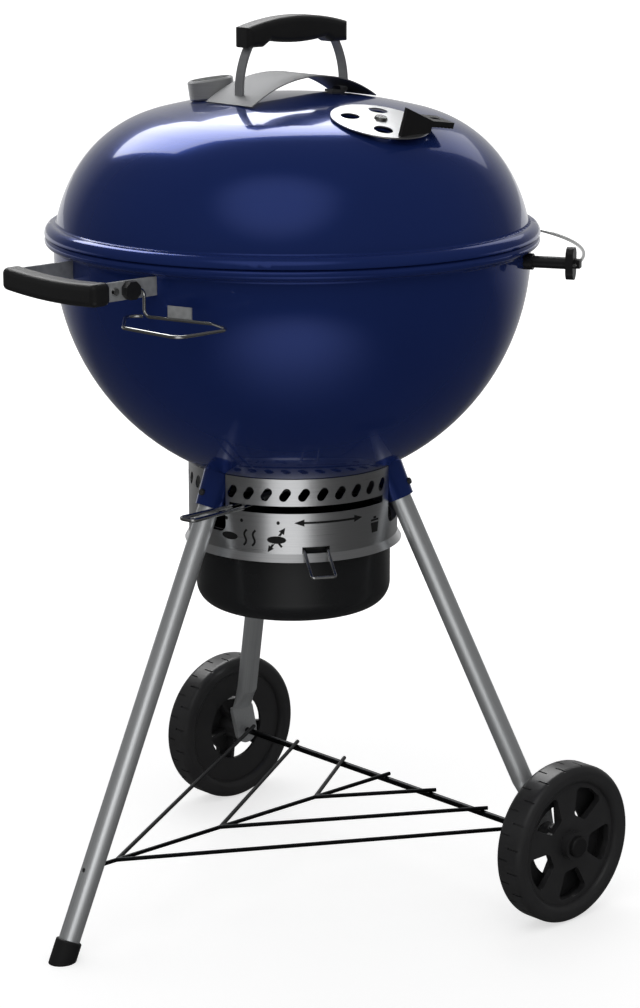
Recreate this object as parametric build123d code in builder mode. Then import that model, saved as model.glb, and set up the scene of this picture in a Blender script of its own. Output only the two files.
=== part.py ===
from build123d import *
import os
from math import acos, asin, atan, cos, degrees, radians, sin, sqrt, tan

# Kettle charcoal grill, in millimetres, +Z up, standing on z = 0.
# Every piece is modelled about the kettle's own vertical axis: +X runs from the foot leg towards
# the axle, and -Y is the front, where the vent lever shows. save() then moves the kettle axis so
# that the origin is the centre of the whole object's footprint.

# Driving dimensions: sheet work
SHEET = 1.2
BOWL_R = 281.5
EQUATOR_Z = 800.0
RIM_WALL = 3.5
RIM_FILLET = 4.0
RIM_BEAD_R = 6.5
LID_LIP_R = 11.5
LID_LIP_FILLET = 3.0
LID_SEAT_GAP = 0.3
LID_HEM_W = 12.0
LID_SHOULDER_R = 187.0
LID_KNUCKLE_R = 152.5
LID_WALL_ANGLE = 78.0
LID_SHOULDER_ANGLE = 60.5
LID_CROWN_ANGLE = 14.0
SEAT_GAP = 0.05
FIT_GAP = 0.2
RUN_GAP = 0.05

# Driving dimensions: lid fittings
LID_HANDLE_X = 82.0
STRAP_TOP_X = 66.5
STRAP_W = 13.0
STRAP_T = 3.0
STRAP_FOOT = 24.0
STRAP_TANG = 12.0
STRAP_BEND = 5.0
GRIP_L = 155.5
GRIP_W = 29.0
GRIP_H = 31.0
GRIP_CROWN = 10.5
GRIP_END_L = 24.0
GRIP_ABOVE_LID = 59.5
GRIP_ROUND = 7.0
SHIELD_HALF_L = 98.0
SHIELD_HALF_W = 40.0
SHIELD_RISE = 28.5
BOLT_R = 3.0
BOLT_HEAD_R = 6.0
BOLT_HEAD_T = 3.5
HEAD_TAPER = 25.0
THERMO_AZ = 131.5
THERMO_FROM_AXIS = 93.5
THERMO_R = 27.0
THERMO_H = 23.0
THERMO_WALL = 2.0
THERMO_DEPTH = 9.2
THERMO_DIAL_T = 0.8
THERMO_LENS_T = 1.6
PIN_R = 0.9
NEEDLE_L = 18.0
NEEDLE_T = 0.7
NEEDLE_REST = 125.0
PROBE_R = 4.0
PROBE_L = 46.0
PROBE_NOSE = 3.2
PROBE_NUT_R = 10.0
PROBE_NUT_T = 6.0
DAMPER_AZ = 266.0
DAMPER_FROM_AXIS = 160.0
DAMPER_R = 57.0
DAMPER_T = 1.5
DAMPER_BOSS_R = 13.0
DAMPER_LIFT = 1.6
DAMPER_HOLE_R = 11.0
DAMPER_HOLE_PCR = 35.0
DAMPER_FACING = -39.0
DAMPER_RIVET_R = 4.0
RIVET_HEAD_R = 8.0
RIVET_HEAD_T = 2.8
TAB_SET = 21.0
TAB_START = -16.0
TAB_NECK = 30.0
TAB_END = 65.0
TAB_W = 30.0
TAB_SLANT = 0.85
TAB_H = 29.0
TAB_TIP_H = 17.0
TAB_TIP_T = 7.0
TAB_RIB = 3.0
TAB_RIBS = 5

# Driving dimensions: side handle, accessory ring and lid holder
ARM_Y = 74.0
ARM_T = 3.0
ARM_H = 21.0
ARM_DROP = 5.0
HANDLE_OUT = 72.0
HANDLE_GRIP_W = 26.0
HANDLE_GRIP_L = 166.0
HANDLE_GRIP_H = 26.0
HANDLE_BELLY = 4.0
HANDLE_ROUND = 7.0
HANDLE_SCREW_OUT = 48.5
SCREW_R = 2.5
CLAMP_OUT = 29.5
CLAMP_FLATS = 20.0
CLAMP_SIDES = 8
CLAMP_T = 9.0
RING_WIRE_R = 2.0
RING_DROP = 36.0
RING_PLAN = [(18.5, -56.0), (-13.5, -165.0), (-3.5, -203.0), (67.5, -203.0), (72.5, -118.0)]
RING_BEND = 13.0
HANGER_BEND = 8.0
RING_PLATE_L = 31.0
RING_PLATE_AT = 0.63
RING_PLATE_H = 13.0
RING_PLATE_T = 1.5
POST_AZ = 60.0
POST_DROP = 3.0
POST_R = 7.0
POST_FLANGE_R = 9.5
POST_FLANGE_L = 10.0
POST_OUT = 49.5
POST_TEE_H = 38.0
POST_TEE_W = 20.0
POST_TEE_T = 9.0
HOOP_OUT = 61.5
HOOP_WIRE_R = 2.0
HOOP_CLIP_W = 12.0
HOOP_CLIP_H = 10.0
HOOP_PAST_POST = 2.5

# Driving dimensions: grates
GRATE_EDGE = 11.5
GRATE_DROP = 24.0
GRATE_ROD_R = 2.5
GRATE_RING_R = 3.0
GRATE_PITCH = 18.0
GRATE_RODS = 18
FLAP_HINGE_X = 166.0
FLAP_RODS = 5
COAL_EDGE = 17.0
COAL_DROP = 158.0
COAL_ROD_R = 3.0
COAL_PITCH = 33.0
COAL_RODS = 13
BRACKET_W = 16.0
BRACKET_T = 3.0
BRACKET_REACH = 9.0
WELD = 0.6
ROD_Y = 110.0
COAL_TIE_Y = 70.0
EYE_Y = 90.0
FLAP_TIE_Y = 60.0
EYE_WIRE_R = 1.75

# Driving dimensions: vent sweeper and ash catcher
VENT_IN = 42.0
VENT_OUT = 100.0
VENT_W = 38.0
BLADE_W = 46.0
BLADE_OUT = 112.0
BLADE_T = 1.5
BLADE_LIFT = 1.0
SHAFT_R = 5.0
SHAFT_HEAD_R = 9.0
HUB_R = 14.0
LEVER_BELOW = 7.5
LEVER_W = 11.0
LEVER_T = 4.0
LEVER_SHORT = 14.0
LEVER_AZ = 197.0
LEVER_TRAVEL = 82.0
PULL_WIRE_R = 2.5
PULL_OUT = 82.0
PULL_SIDE = 10.0
PULL_W = 21.0
PULL_BEND = 6.0
PULL_LAP = 28.0
COLLAR_R = 126.0
COLLAR_T = 1.0
COLLAR_BELOW = 69.5
COLLAR_FLARE = 5.0
COLLAR_FLARE_H = 9.0
COLLAR_RIB_H = 21.0
COLLAR_RIB_IN = 7.2
COLLAR_NOTCH_H = 29.0
COLLAR_HOLE_H = 80.0
COLLAR_HOLES = 10
COLLAR_HOLE_STEP = 10.1
COLLAR_HOLE_L = 17.0
COLLAR_HOLE_W = 10.0
COLLAR_HOLE_LEAN = 35.0
COLLAR_HOLE_SHIFT = -1.5
COLLAR_SLOT_H = 9.0
BUCKET_RIM_STEP = 1.0
BUCKET_TOP_H = 29.0
BUCKET_H = 110.0
BUCKET_CORNER = 26.0
BUCKET_RIM_H = 10.0
BAIL_AZ = 240.0
BAIL_H = 12.0
BAIL_WIRE_R = 2.0
BAIL_HALF_W = 14.0
BAIL_OUT = 46.0
BAIL_DROOP = 27.0
BAIL_HOOK = 4.0
BAIL_HOOK_IN = 5.2
BAIL_BEND = 3.0

# Driving dimensions: legs, axle, wheels and rack
LEG_SLOPE = 0.456875
LEG_R = 12.7
LEG_WALL = 1.6
LEG_INSET = 9.8
SOCKET_WALL = 3.6
SOCKET_FLARE = 2.5
SOCKET_L = 41.7
BUTTON_UP = 14.3
BUTTON_R = 4.0
BUTTON_PROUD = 3.0
BUTTON_FLANGE_R = 6.0
FOOT_CAP_WALL = 2.8
FOOT_CAP_L = 26.0
FOOT_FLOOR = 6.0
LEG_PINCH_UP = 68.5
PADDLE_UP = 32.5
PADDLE_IN = 93.5
PADDLE_T = 6.0
PADDLE_W = 34.0
WHEEL_R = 97.5
WHEEL_W = 40.0
WHEEL_OUT = 31.5
WHEEL_SHOULDER = 9.0
WHEEL_RIM_T = 22.0
WHEEL_HUB_R = 17.0
WHEEL_WEB_T = 8.0
WHEEL_HUB_PROUD = 3.0
WHEEL_WINDOWS = 5
WHEEL_RIB_T = 4.0
WHEEL_BACK_R = 44.0
SIPES = 20
SIPE_W = 2.0
SIPE_DEPTH = 1.5
WINDOW_START = 60.0
WINDOW = [(34.0, -11.0), (66.0, -25.0), (71.0, 0.0), (66.0, 25.0), (34.0, 11.0)]
WINDOW_ROUND = 6.0
AXLE_R = 4.0
AXLE_END_GAP = 0.5
HUB_CAP_R = 13.0
HUB_CAP_T = 6.0
RACK_WIRE_R = 2.5
RACK_PAST_AXLE = 5.0
RACK_ARMS = [(-282.0, 261.0), (-121.0, 174.0), (36.0, 84.0)]

# Levels and radii that follow from the driving dimensions
BEAD_CENTRE_R = BOWL_R + RIM_FILLET
BEAD_CENTRE_Z = EQUATOR_Z + RIM_WALL + RIM_FILLET + RIM_BEAD_R
RIM_R = BEAD_CENTRE_R + RIM_BEAD_R
RIM_TOP_Z = BEAD_CENTRE_Z + RIM_BEAD_R
BOWL_BOTTOM_Z = EQUATOR_Z - BOWL_R
LID_BOTTOM_Z = RIM_TOP_Z + LID_SEAT_GAP
LID_LIP_Z = LID_BOTTOM_Z + SHEET
WALL = radians(LID_WALL_ANGLE)
SHOULDER = radians(LID_SHOULDER_ANGLE)
CROWN = radians(LID_CROWN_ANGLE)
LID_WALL_R = RIM_R - LID_LIP_R - LID_LIP_FILLET * sin(WALL)
LID_WALL_Z = LID_LIP_Z + LID_LIP_R + LID_LIP_FILLET * (1 - cos(WALL))
KNUCKLE_EDGE_R = LID_WALL_R - LID_SHOULDER_R * (sin(WALL) - sin(SHOULDER))
CROWN_EDGE_R = KNUCKLE_EDGE_R - LID_KNUCKLE_R * (sin(SHOULDER) - sin(CROWN))
CROWN_R = CROWN_EDGE_R / sin(CROWN)
LID_SHOULDER_H = LID_SHOULDER_R * (cos(SHOULDER) - cos(WALL))
LID_KNUCKLE_H = LID_KNUCKLE_R * (cos(CROWN) - cos(SHOULDER))
LID_TOP_Z = LID_WALL_Z + LID_SHOULDER_H + LID_KNUCKLE_H + CROWN_R * (1 - cos(CROWN))
CROWN_CENTRE_Z = LID_TOP_Z - CROWN_R
LEAN = atan(LEG_SLOPE)
FOOT_REACH = EQUATOR_Z * LEG_SLOPE
AXLE_Z = WHEEL_R
LEG_PINCH_Z = AXLE_Z + LEG_PINCH_UP
PADDLE_Y = FOOT_REACH - PADDLE_IN
WHEEL_Y = PADDLE_Y + WHEEL_OUT
PADDLE_Z = AXLE_Z + PADDLE_UP
AXLE_X = (FOOT_REACH - AXLE_Z * tan(LEAN)) / 2
FOOT_CAP_R = LEG_R + FOOT_CAP_WALL
FOOT_TIP = FOOT_REACH + FOOT_CAP_R / cos(LEAN)
ARM_Z = EQUATOR_Z - ARM_DROP
HANDLE_REACH = BOWL_R + HANDLE_OUT
HANDLE_SCREW_X = BOWL_R + HANDLE_SCREW_OUT
CLAMP_X = BOWL_R + CLAMP_OUT
RING_Z = EQUATOR_Z - RING_DROP
RING_CORNERS = [(-BOWL_R - out, y) for out, y in RING_PLAN]
POST_Z = EQUATOR_Z - POST_DROP
POST_REACH = BOWL_R + POST_OUT
HOOP_R = BOWL_R + HOOP_OUT
GRATE_R = BOWL_R - GRATE_EDGE
GRATE_Z = EQUATOR_Z - GRATE_DROP
COAL_Z = EQUATOR_Z - COAL_DROP
COAL_R = sqrt(BOWL_R**2 - COAL_DROP**2) - COAL_EDGE
LEVER_Z = BOWL_BOTTOM_Z - LEVER_BELOW
COLLAR_BOTTOM_Z = BOWL_BOTTOM_Z - COLLAR_BELOW
COLLAR_FLARE_Z = COLLAR_BOTTOM_Z + COLLAR_FLARE_H
COLLAR_RIB_Z = COLLAR_BOTTOM_Z + COLLAR_RIB_H
COLLAR_NOTCH_Z = COLLAR_BOTTOM_Z + COLLAR_NOTCH_H
COLLAR_HOLE_Z = COLLAR_BOTTOM_Z + COLLAR_HOLE_H
COLLAR_IN_R = COLLAR_R - COLLAR_T
COLLAR_RIB_R = COLLAR_R - COLLAR_RIB_IN
BUCKET_RIM_R = COLLAR_RIB_R - LID_SEAT_GAP
BUCKET_R = BUCKET_RIM_R - BUCKET_RIM_STEP
LEVER_L = COLLAR_R - LEVER_SHORT
PULL_TIP = COLLAR_R + PULL_OUT
PULL_ROOT = LEVER_L - PULL_LAP
BUCKET_TOP_Z = COLLAR_BOTTOM_Z + BUCKET_TOP_H
BUCKET_BOTTOM_Z = BUCKET_TOP_Z - BUCKET_H
BAIL_Z = COLLAR_BOTTOM_Z + BAIL_H
SOCKET_BORE_R = LEG_R + FIT_GAP
SOCKET_R = SOCKET_BORE_R + SOCKET_WALL
SOCKET_RIM_R = SOCKET_R + SOCKET_FLARE
COLLAR_NOTCH_W = 2 * SOCKET_RIM_R
SOCKET_BOTTOM_Z = EQUATOR_Z - (BOWL_R + SOCKET_L) * cos(LEAN)
BUTTON_Z = SOCKET_BOTTOM_Z + BUTTON_UP * cos(LEAN)
LEG_TOP_Z = EQUATOR_Z - (BOWL_R + LEG_INSET) * cos(LEAN)
HOOP_TIP = HOOP_R + HOOP_WIRE_R
AXIS_X = (FOOT_TIP - HOOP_TIP) / 2
RACK_Z = AXLE_Z + AXLE_R + RACK_WIRE_R + SEAT_GAP
LEG_AZ = {"foot": 180.0, "front": -60.0, "rear": 60.0}

os.makedirs("parts", exist_ok=True)


def save(piece, name):
    """Move a piece from the kettle axis to the object's frame, label it and write it."""
    placed = piece.moved(Location((AXIS_X, 0, 0)))
    placed.label = name
    export_step(placed, f"parts/{name}.step")


def crown_z(radius):
    """Height of the lid's outer crown at a distance from the kettle axis."""
    return CROWN_CENTRE_Z + sqrt(CROWN_R**2 - radius**2)


def crown_plane(azimuth, radius, facing):
    """A plane on the lid's crown, its normal along the crown's own, its x along an azimuth."""
    turn = radians(azimuth)
    spot = (radius * cos(turn), radius * sin(turn), crown_z(radius))
    normal = (spot[0], spot[1], spot[2] - CROWN_CENTRE_Z)
    return Plane(origin=spot, x_dir=(cos(radians(facing)), sin(radians(facing)), 0), z_dir=normal)


def side_of(plane):
    """The upright plane that holds a placed plane's own axis, for turned outlines."""
    return Plane(origin=plane.origin, x_dir=plane.x_dir, z_dir=-plane.y_dir)


def axis_of(plane):
    return Axis(plane.origin, plane.z_dir)


def radial_plane(azimuth, radius, height):
    """A plane facing out from the kettle axis: x along the tangent, y up."""
    turn = radians(azimuth)
    out = (cos(turn), sin(turn), 0)
    spot = (radius * out[0], radius * out[1], height)
    return Plane(origin=spot, x_dir=(-out[1], out[0], 0), z_dir=out)


def leg_point(azimuth, height):
    reach = FOOT_REACH - tan(LEAN) * height
    return (reach * cos(radians(azimuth)), reach * sin(radians(azimuth)), height)


def leg_plane(azimuth, height):
    """A plane across a leg: its normal runs up the leg and its x faces away from the kettle axis."""
    turn = radians(azimuth)
    up = (-sin(LEAN) * cos(turn), -sin(LEAN) * sin(turn), cos(LEAN))
    return Plane(origin=leg_point(azimuth, height), x_dir=(cos(turn), sin(turn), 0), z_dir=up)


def along_leg(low, high):
    """Length of leg between two heights."""
    return (high - low) / cos(LEAN)


def rod(start, end, radius, mode=Mode.ADD):
    """Add a straight round rod to the part being built, or bore it away."""
    run = Vector(*end) - Vector(*start)
    with BuildSketch(Plane(origin=start, z_dir=run)) as section:
        Circle(radius)
    extrude(section.sketch, amount=run.length, mode=mode)


def wire(path, radius):
    """Add a round wire along a drawn path to the part being built."""
    with BuildSketch(Plane(origin=path @ 0, z_dir=path % 0)) as section:
        Circle(radius)
    sweep(section.sketch, path=path)


# Bowl: a pressed hemisphere whose wall turns out into a rolled bead. Three vents lie between the
# legs in its floor, round the bore for the sweeper shaft.
BEAD_TUCK = degrees(acos((BEAD_CENTRE_R - BOWL_R + SHEET) / RIM_BEAD_R))
BEAD_CENTRE = (BEAD_CENTRE_R, BEAD_CENTRE_Z)


def bowl_outside(grow):
    """The bowl's outer profile grown by a gap: hemisphere, wall, neck and the bead's outer half."""
    hemisphere = CenterArc((0, EQUATOR_Z), BOWL_R + grow, -90, 90)
    wall = Line(hemisphere @ 1, (BOWL_R + grow, EQUATOR_Z + RIM_WALL))
    JernArc(wall @ 1, (0, 1), RIM_FILLET - grow, -90)
    bead = CenterArc(BEAD_CENTRE, RIM_BEAD_R + grow, -90, 180)
    return hemisphere @ 0, bead @ 1


with BuildPart() as bowl_shell:
    with BuildSketch(Plane.XZ):
        with BuildLine():
            bottom, bead_top = bowl_outside(0)
            tuck = CenterArc(BEAD_CENTRE, RIM_BEAD_R, 90, 90 + BEAD_TUCK)
            inside = CenterArc((0, EQUATOR_Z), BOWL_R - SHEET, 0, -90)
            Line(tuck @ 1, inside @ 0)
            Line(inside @ 1, bottom)
        make_face()
    revolve(axis=Axis.Z)
    with BuildSketch(Plane.XY.offset(BOWL_BOTTOM_Z - SHEET)):
        with PolarLocations((VENT_IN + VENT_OUT) / 2, 3):
            SlotOverall(VENT_OUT - VENT_IN, VENT_W)
        Circle(SHAFT_R + RUN_GAP)
    extrude(amount=VENT_W, mode=Mode.SUBTRACT)
save(bowl_shell.part, "bowl_shell")

with BuildPart() as bowl_room:
    with BuildSketch(Plane.XZ):
        with BuildLine():
            bottom, bead_top = bowl_outside(SEAT_GAP)
            Polyline(bead_top, (0, RIM_TOP_Z + SEAT_GAP), bottom)
        make_face()
    revolve(axis=Axis.Z)


# Lid: one sheet of three tangent arcs, a small fillet and a quarter-round lip, with the hem folded
# in under the lip to sit on the bowl's bead.
def lid_outline(inset):
    """The lid's profile at a depth inside its outer face, from the axis out to the lip."""
    crown = JernArc((0, LID_TOP_Z - inset), (1, 0), CROWN_R - inset, -LID_CROWN_ANGLE)
    turn = LID_SHOULDER_ANGLE - LID_CROWN_ANGLE
    knuckle = JernArc(crown @ 1, crown % 1, LID_KNUCKLE_R - inset, -turn)
    turn = LID_WALL_ANGLE - LID_SHOULDER_ANGLE
    shoulder = JernArc(knuckle @ 1, knuckle % 1, LID_SHOULDER_R - inset, -turn)
    fillet_arc = JernArc(shoulder @ 1, shoulder % 1, LID_LIP_FILLET + inset, LID_WALL_ANGLE)
    lip = JernArc(fillet_arc @ 1, (1, 0), LID_LIP_R - inset, -90)
    return crown @ 0, lip @ 1


DAMPER_PLANE = crown_plane(DAMPER_AZ, DAMPER_FROM_AXIS, DAMPER_FACING)
THERMO_PLANE = crown_plane(THERMO_AZ, THERMO_FROM_AXIS, THERMO_AZ + 180 + NEEDLE_REST)
NECK_R = PROBE_R + THERMO_WALL
BOLT_X = LID_HANDLE_X - STRAP_FOOT / 2
BOLT_PLANES = {"left": crown_plane(180, BOLT_X, 0), "right": crown_plane(0, BOLT_X, 0)}
with BuildPart() as lid_shell:
    with BuildSketch(Plane.XZ):
        with BuildLine():
            top, lip_end = lid_outline(0)
            under_top, under_lip = lid_outline(SHEET)
            Line(top, under_top)
            hem = (RIM_R - LID_HEM_W, LID_LIP_Z)
            Polyline(lip_end, (RIM_R, LID_BOTTOM_Z), (hem[0], LID_BOTTOM_Z), hem, under_lip)
        make_face()
    revolve(axis=Axis.Z)
    with BuildSketch(DAMPER_PLANE):
        Circle(DAMPER_RIVET_R + FIT_GAP)
        with PolarLocations(DAMPER_HOLE_PCR, 3, start_angle=90, angular_range=180, endpoint=True):
            Circle(DAMPER_HOLE_R)
    extrude(amount=DAMPER_HOLE_R, both=True, mode=Mode.SUBTRACT)
    with BuildSketch(THERMO_PLANE):
        Circle(NECK_R + FIT_GAP)
    extrude(amount=NECK_R, both=True, mode=Mode.SUBTRACT)
    for place in BOLT_PLANES.values():
        with BuildSketch(place):
            Circle(BOLT_R + FIT_GAP)
        extrude(amount=BOLT_R, both=True, mode=Mode.SUBTRACT)
save(lid_shell.part, "lid_shell")


# Lid handle: two bent straps bolted to the crown carry a nylon grip over an arched heat shield.
GRIP_BOTTOM_Z = LID_TOP_Z + GRIP_ABOVE_LID
GRIP_TOP_Z = GRIP_BOTTOM_Z + GRIP_H
STRAP_LIFT = FIT_GAP + STRAP_T / 2


def strap_path(side):
    """Middle line of a handle strap: along the crown, up round a bend, then bowed in to the grip."""
    foot_x = LID_HANDLE_X - STRAP_FOOT
    heel_z = crown_z(LID_HANDLE_X) + STRAP_LIFT
    foot = FilletPolyline(
        (side * foot_x, crown_z(foot_x) + STRAP_LIFT),
        (side * LID_HANDLE_X, heel_z),
        (side * LID_HANDLE_X, heel_z + 2 * STRAP_BEND),
        radius=STRAP_BEND,
    )
    bow = TangentArc(foot @ 1, (side * STRAP_TOP_X, GRIP_BOTTOM_Z), tangent=(0, 1))
    Line(bow @ 1, bow @ 1 + (bow % 1) * STRAP_TANG)


with BuildPart() as strap_room:
    for side in (-1, 1):
        with BuildSketch(Plane.XZ):
            with BuildLine():
                strap_path(side)
            trace(line_width=STRAP_T + 2 * FIT_GAP)
        extrude(amount=STRAP_W / 2 + FIT_GAP, both=True)

for side, name in ((-1, "left"), (1, "right")):
    with BuildPart() as handle_strap:
        with BuildSketch(Plane.XZ):
            with BuildLine():
                strap_path(side)
            trace(line_width=STRAP_T)
        extrude(amount=STRAP_W / 2, both=True)
        with BuildSketch(BOLT_PLANES[name]):
            Circle(BOLT_R + FIT_GAP)
        extrude(amount=STRAP_LIFT + STRAP_T, mode=Mode.SUBTRACT)
    save(handle_strap.part, f"lid_handle_strap_{name}")

with BuildPart() as handle_grip:
    with BuildSketch(Plane.XZ):
        with BuildLine():
            half = GRIP_L / 2
            step = half - GRIP_END_L
            end_z = GRIP_BOTTOM_Z - GRIP_CROWN / 4
            rise_z = GRIP_BOTTOM_Z + GRIP_CROWN / 3
            crest_z = GRIP_TOP_Z - GRIP_CROWN
            Polyline((step, end_z), (half, end_z), (half, crest_z))
            ThreePointArc((half, crest_z), (0, GRIP_TOP_Z), (-half, crest_z))
            Polyline((-half, crest_z), (-half, end_z), (-step, end_z))
            Line((-step, end_z), (-step + GRIP_CROWN, rise_z))
            ThreePointArc((-step + GRIP_CROWN, rise_z), (0, GRIP_BOTTOM_Z), (step - GRIP_CROWN, rise_z))
            Line((step - GRIP_CROWN, rise_z), (step, end_z))
        make_face()
    extrude(amount=GRIP_W / 2, both=True)
    rims = handle_grip.edges().group_by(Axis.Y)
    fillet(rims[0] + rims[-1], radius=GRIP_ROUND)
    add(strap_room.part, mode=Mode.SUBTRACT)
save(handle_grip.part, "lid_handle_grip")

SHIELD_END_Z = crown_z(SHIELD_HALF_L) + SHEET / 2 + FIT_GAP
with BuildPart() as heat_shield:
    with BuildSketch(Plane.XZ):
        with BuildLine():
            ends = [(-SHIELD_HALF_L, SHIELD_END_Z), (SHIELD_HALF_L, SHIELD_END_Z)]
            ThreePointArc(ends[0], (0, SHIELD_END_Z + SHIELD_RISE), ends[1])
        trace(line_width=SHEET)
    extrude(amount=SHIELD_HALF_W, both=True)
    add(strap_room.part, mode=Mode.SUBTRACT)
save(heat_shield.part, "heat_shield")

# Handle bolts: a round head on each strap foot, the shank through the crown and a nut below it.
HEAD_Z = STRAP_LIFT + STRAP_T / 2 + 2 * FIT_GAP
NUT_Z = -SHEET - FIT_GAP - BOLT_HEAD_T
with BuildPart() as handle_bolts:
    for place in BOLT_PLANES.values():
        with BuildSketch(place.offset(NUT_Z - BOLT_R)):
            Circle(BOLT_R)
        extrude(amount=HEAD_Z - NUT_Z + BOLT_R)
        with BuildSketch(place.offset(HEAD_Z)):
            Circle(BOLT_HEAD_R)
        extrude(amount=BOLT_HEAD_T, taper=HEAD_TAPER)
        with BuildSketch(place.offset(NUT_Z)):
            RegularPolygon(BOLT_HEAD_R, 6)
        extrude(amount=BOLT_HEAD_T)
save(handle_bolts.part, "lid_handle_bolts")

# Lid thermometer: a turned case with a crimped bezel, dial, needle and lens, and a probe whose
# threaded neck goes through the crown into a nut.
THERMO_FLOOR = THERMO_H - THERMO_DEPTH
THERMO_LENS_Z = THERMO_H - THERMO_WALL - THERMO_LENS_T
THERMO_BORE_R = THERMO_R - THERMO_WALL
BEZEL_R = THERMO_BORE_R - THERMO_WALL
DIAL_Z = THERMO_FLOOR + SEAT_GAP
DIAL_TOP = DIAL_Z + THERMO_DIAL_T
with BuildPart() as thermometer_case:
    with BuildSketch(side_of(THERMO_PLANE)):
        with BuildLine():
            Polyline(
                (0, SEAT_GAP),
                (THERMO_R - THERMO_WALL, SEAT_GAP),
                (THERMO_R, THERMO_WALL),
                (THERMO_R, THERMO_H - THERMO_WALL),
                (THERMO_R - THERMO_WALL, THERMO_H),
                (BEZEL_R, THERMO_H),
                (BEZEL_R, THERMO_LENS_Z + THERMO_LENS_T + SEAT_GAP),
                (THERMO_BORE_R, THERMO_LENS_Z + THERMO_LENS_T + SEAT_GAP),
                (THERMO_BORE_R, THERMO_FLOOR),
                (0, THERMO_FLOOR),
                close=True,
            )
        make_face()
    revolve(axis=axis_of(THERMO_PLANE))
save(thermometer_case.part, "thermometer_case")

with BuildPart() as thermometer_dial:
    with BuildSketch(THERMO_PLANE.offset(DIAL_Z)):
        Circle(THERMO_BORE_R - FIT_GAP)
        Circle(PIN_R + RUN_GAP, mode=Mode.SUBTRACT)
    extrude(amount=THERMO_DIAL_T)
save(thermometer_dial.part, "thermometer_dial")

with BuildPart() as thermometer_needle:
    with BuildSketch(THERMO_PLANE.offset(DIAL_Z)):
        Circle(PIN_R)
    extrude(amount=THERMO_DIAL_T + 2 * NEEDLE_T)
    with BuildSketch(THERMO_PLANE.offset(DIAL_TOP + NEEDLE_T)):
        Circle(3 * PIN_R)
        with BuildLine():
            Polyline((0, -2 * PIN_R), (NEEDLE_L, 0), (0, 2 * PIN_R), (-NEEDLE_L / 4, 0), close=True)
        make_face()
    extrude(amount=NEEDLE_T)
save(thermometer_needle.part, "thermometer_needle")

with BuildPart() as thermometer_lens:
    with BuildSketch(THERMO_PLANE.offset(THERMO_LENS_Z)):
        Circle(THERMO_BORE_R - FIT_GAP)
    extrude(amount=THERMO_LENS_T)
save(thermometer_lens.part, "thermometer_lens")

PROBE_NUT_Z = -SHEET - FIT_GAP
with BuildPart() as thermometer_probe:
    with BuildSketch(THERMO_PLANE):
        Circle(NECK_R)
    extrude(amount=PROBE_NUT_Z - PROBE_NUT_T - NECK_R)
    with BuildSketch(THERMO_PLANE):
        Circle(PROBE_R)
    extrude(amount=-PROBE_L)
    fillet(thermometer_probe.edges().sort_by(Axis.Z)[0], radius=PROBE_NOSE)
save(thermometer_probe.part, "thermometer_probe")

with BuildPart() as thermometer_nut:
    with BuildSketch(THERMO_PLANE.offset(PROBE_NUT_Z)):
        RegularPolygon(PROBE_NUT_R, 6)
        Circle(NECK_R + SEAT_GAP, mode=Mode.SUBTRACT)
    extrude(amount=-PROBE_NUT_T)
save(thermometer_nut.part, "thermometer_nut")

# Lid damper: a disc curved about the crown's own centre, so it turns at one clearance over the lid.
# The disc's three holes stand over the lid's three, and the fourth place carries the nylon tab.
DISC_LOW_R = CROWN_R + DAMPER_LIFT
DISC_TOP_R = DISC_LOW_R + DAMPER_T
CROWN_CENTRE = (0, -CROWN_R)
with BuildPart() as damper_disc:
    with BuildSketch(side_of(DAMPER_PLANE)):
        with Locations(CROWN_CENTRE):
            Circle(DISC_TOP_R)
            Circle(DISC_LOW_R, mode=Mode.SUBTRACT)
        Rectangle(DAMPER_R, DAMPER_R, align=(Align.MIN, Align.CENTER), mode=Mode.INTERSECT)
    revolve(axis=axis_of(DAMPER_PLANE))
    with BuildSketch(DAMPER_PLANE.offset(LID_SEAT_GAP)):
        Circle(DAMPER_BOSS_R)
    extrude(amount=DAMPER_LIFT)
    with BuildSketch(DAMPER_PLANE):
        Circle(DAMPER_RIVET_R + RUN_GAP)
        with PolarLocations(DAMPER_HOLE_PCR, 3, start_angle=90, angular_range=180, endpoint=True):
            Circle(DAMPER_HOLE_R)
    extrude(amount=DAMPER_HOLE_R, both=True, mode=Mode.SUBTRACT)
save(damper_disc.part, "damper_disc")

TAB_SIDE = side_of(DAMPER_PLANE.rotated((0, 0, -DAMPER_FACING))).offset(TAB_SET)
with BuildPart() as damper_tab:
    with BuildSketch(TAB_SIDE):
        with BuildLine():
            Polyline(
                (TAB_START, -TAB_H),
                (TAB_START, TAB_H),
                (TAB_NECK, TAB_TIP_H),
                (TAB_END, TAB_TIP_H),
                (TAB_END, TAB_TIP_H - TAB_TIP_T),
                (TAB_NECK, TAB_TIP_H - TAB_TIP_T),
                (TAB_NECK, -TAB_H),
                close=True,
            )
        make_face()
        for index in range(TAB_RIBS):
            with Locations((TAB_END - (2 * index + 1) * TAB_RIB, TAB_TIP_H - TAB_TIP_T)):
                Rectangle(TAB_RIB, TAB_RIB, mode=Mode.SUBTRACT)
    extrude(amount=TAB_W)
    tab_plan = Plane(origin=TAB_SIDE.origin, x_dir=TAB_SIDE.x_dir, z_dir=TAB_SIDE.y_dir)
    with BuildSketch(tab_plan):
        with BuildLine():
            slant_y = -TAB_W * TAB_SLANT
            Polyline((TAB_START, slant_y), (TAB_NECK, 0), (TAB_START, 0), close=True)
        make_face()
    extrude(amount=2 * TAB_H, both=True, mode=Mode.SUBTRACT)
    with BuildSketch(tab_plan):
        with Locations(((TAB_NECK + TAB_END) / 2, -TAB_W / 2)):
            SlotOverall(TAB_W / 2, TAB_W / 4)
    extrude(amount=TAB_H, mode=Mode.SUBTRACT)
    with Locations((0, 0, CROWN_CENTRE_Z)):
        Sphere(DISC_TOP_R + SEAT_GAP, mode=Mode.SUBTRACT)
save(damper_tab.part, "damper_tab")

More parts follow.
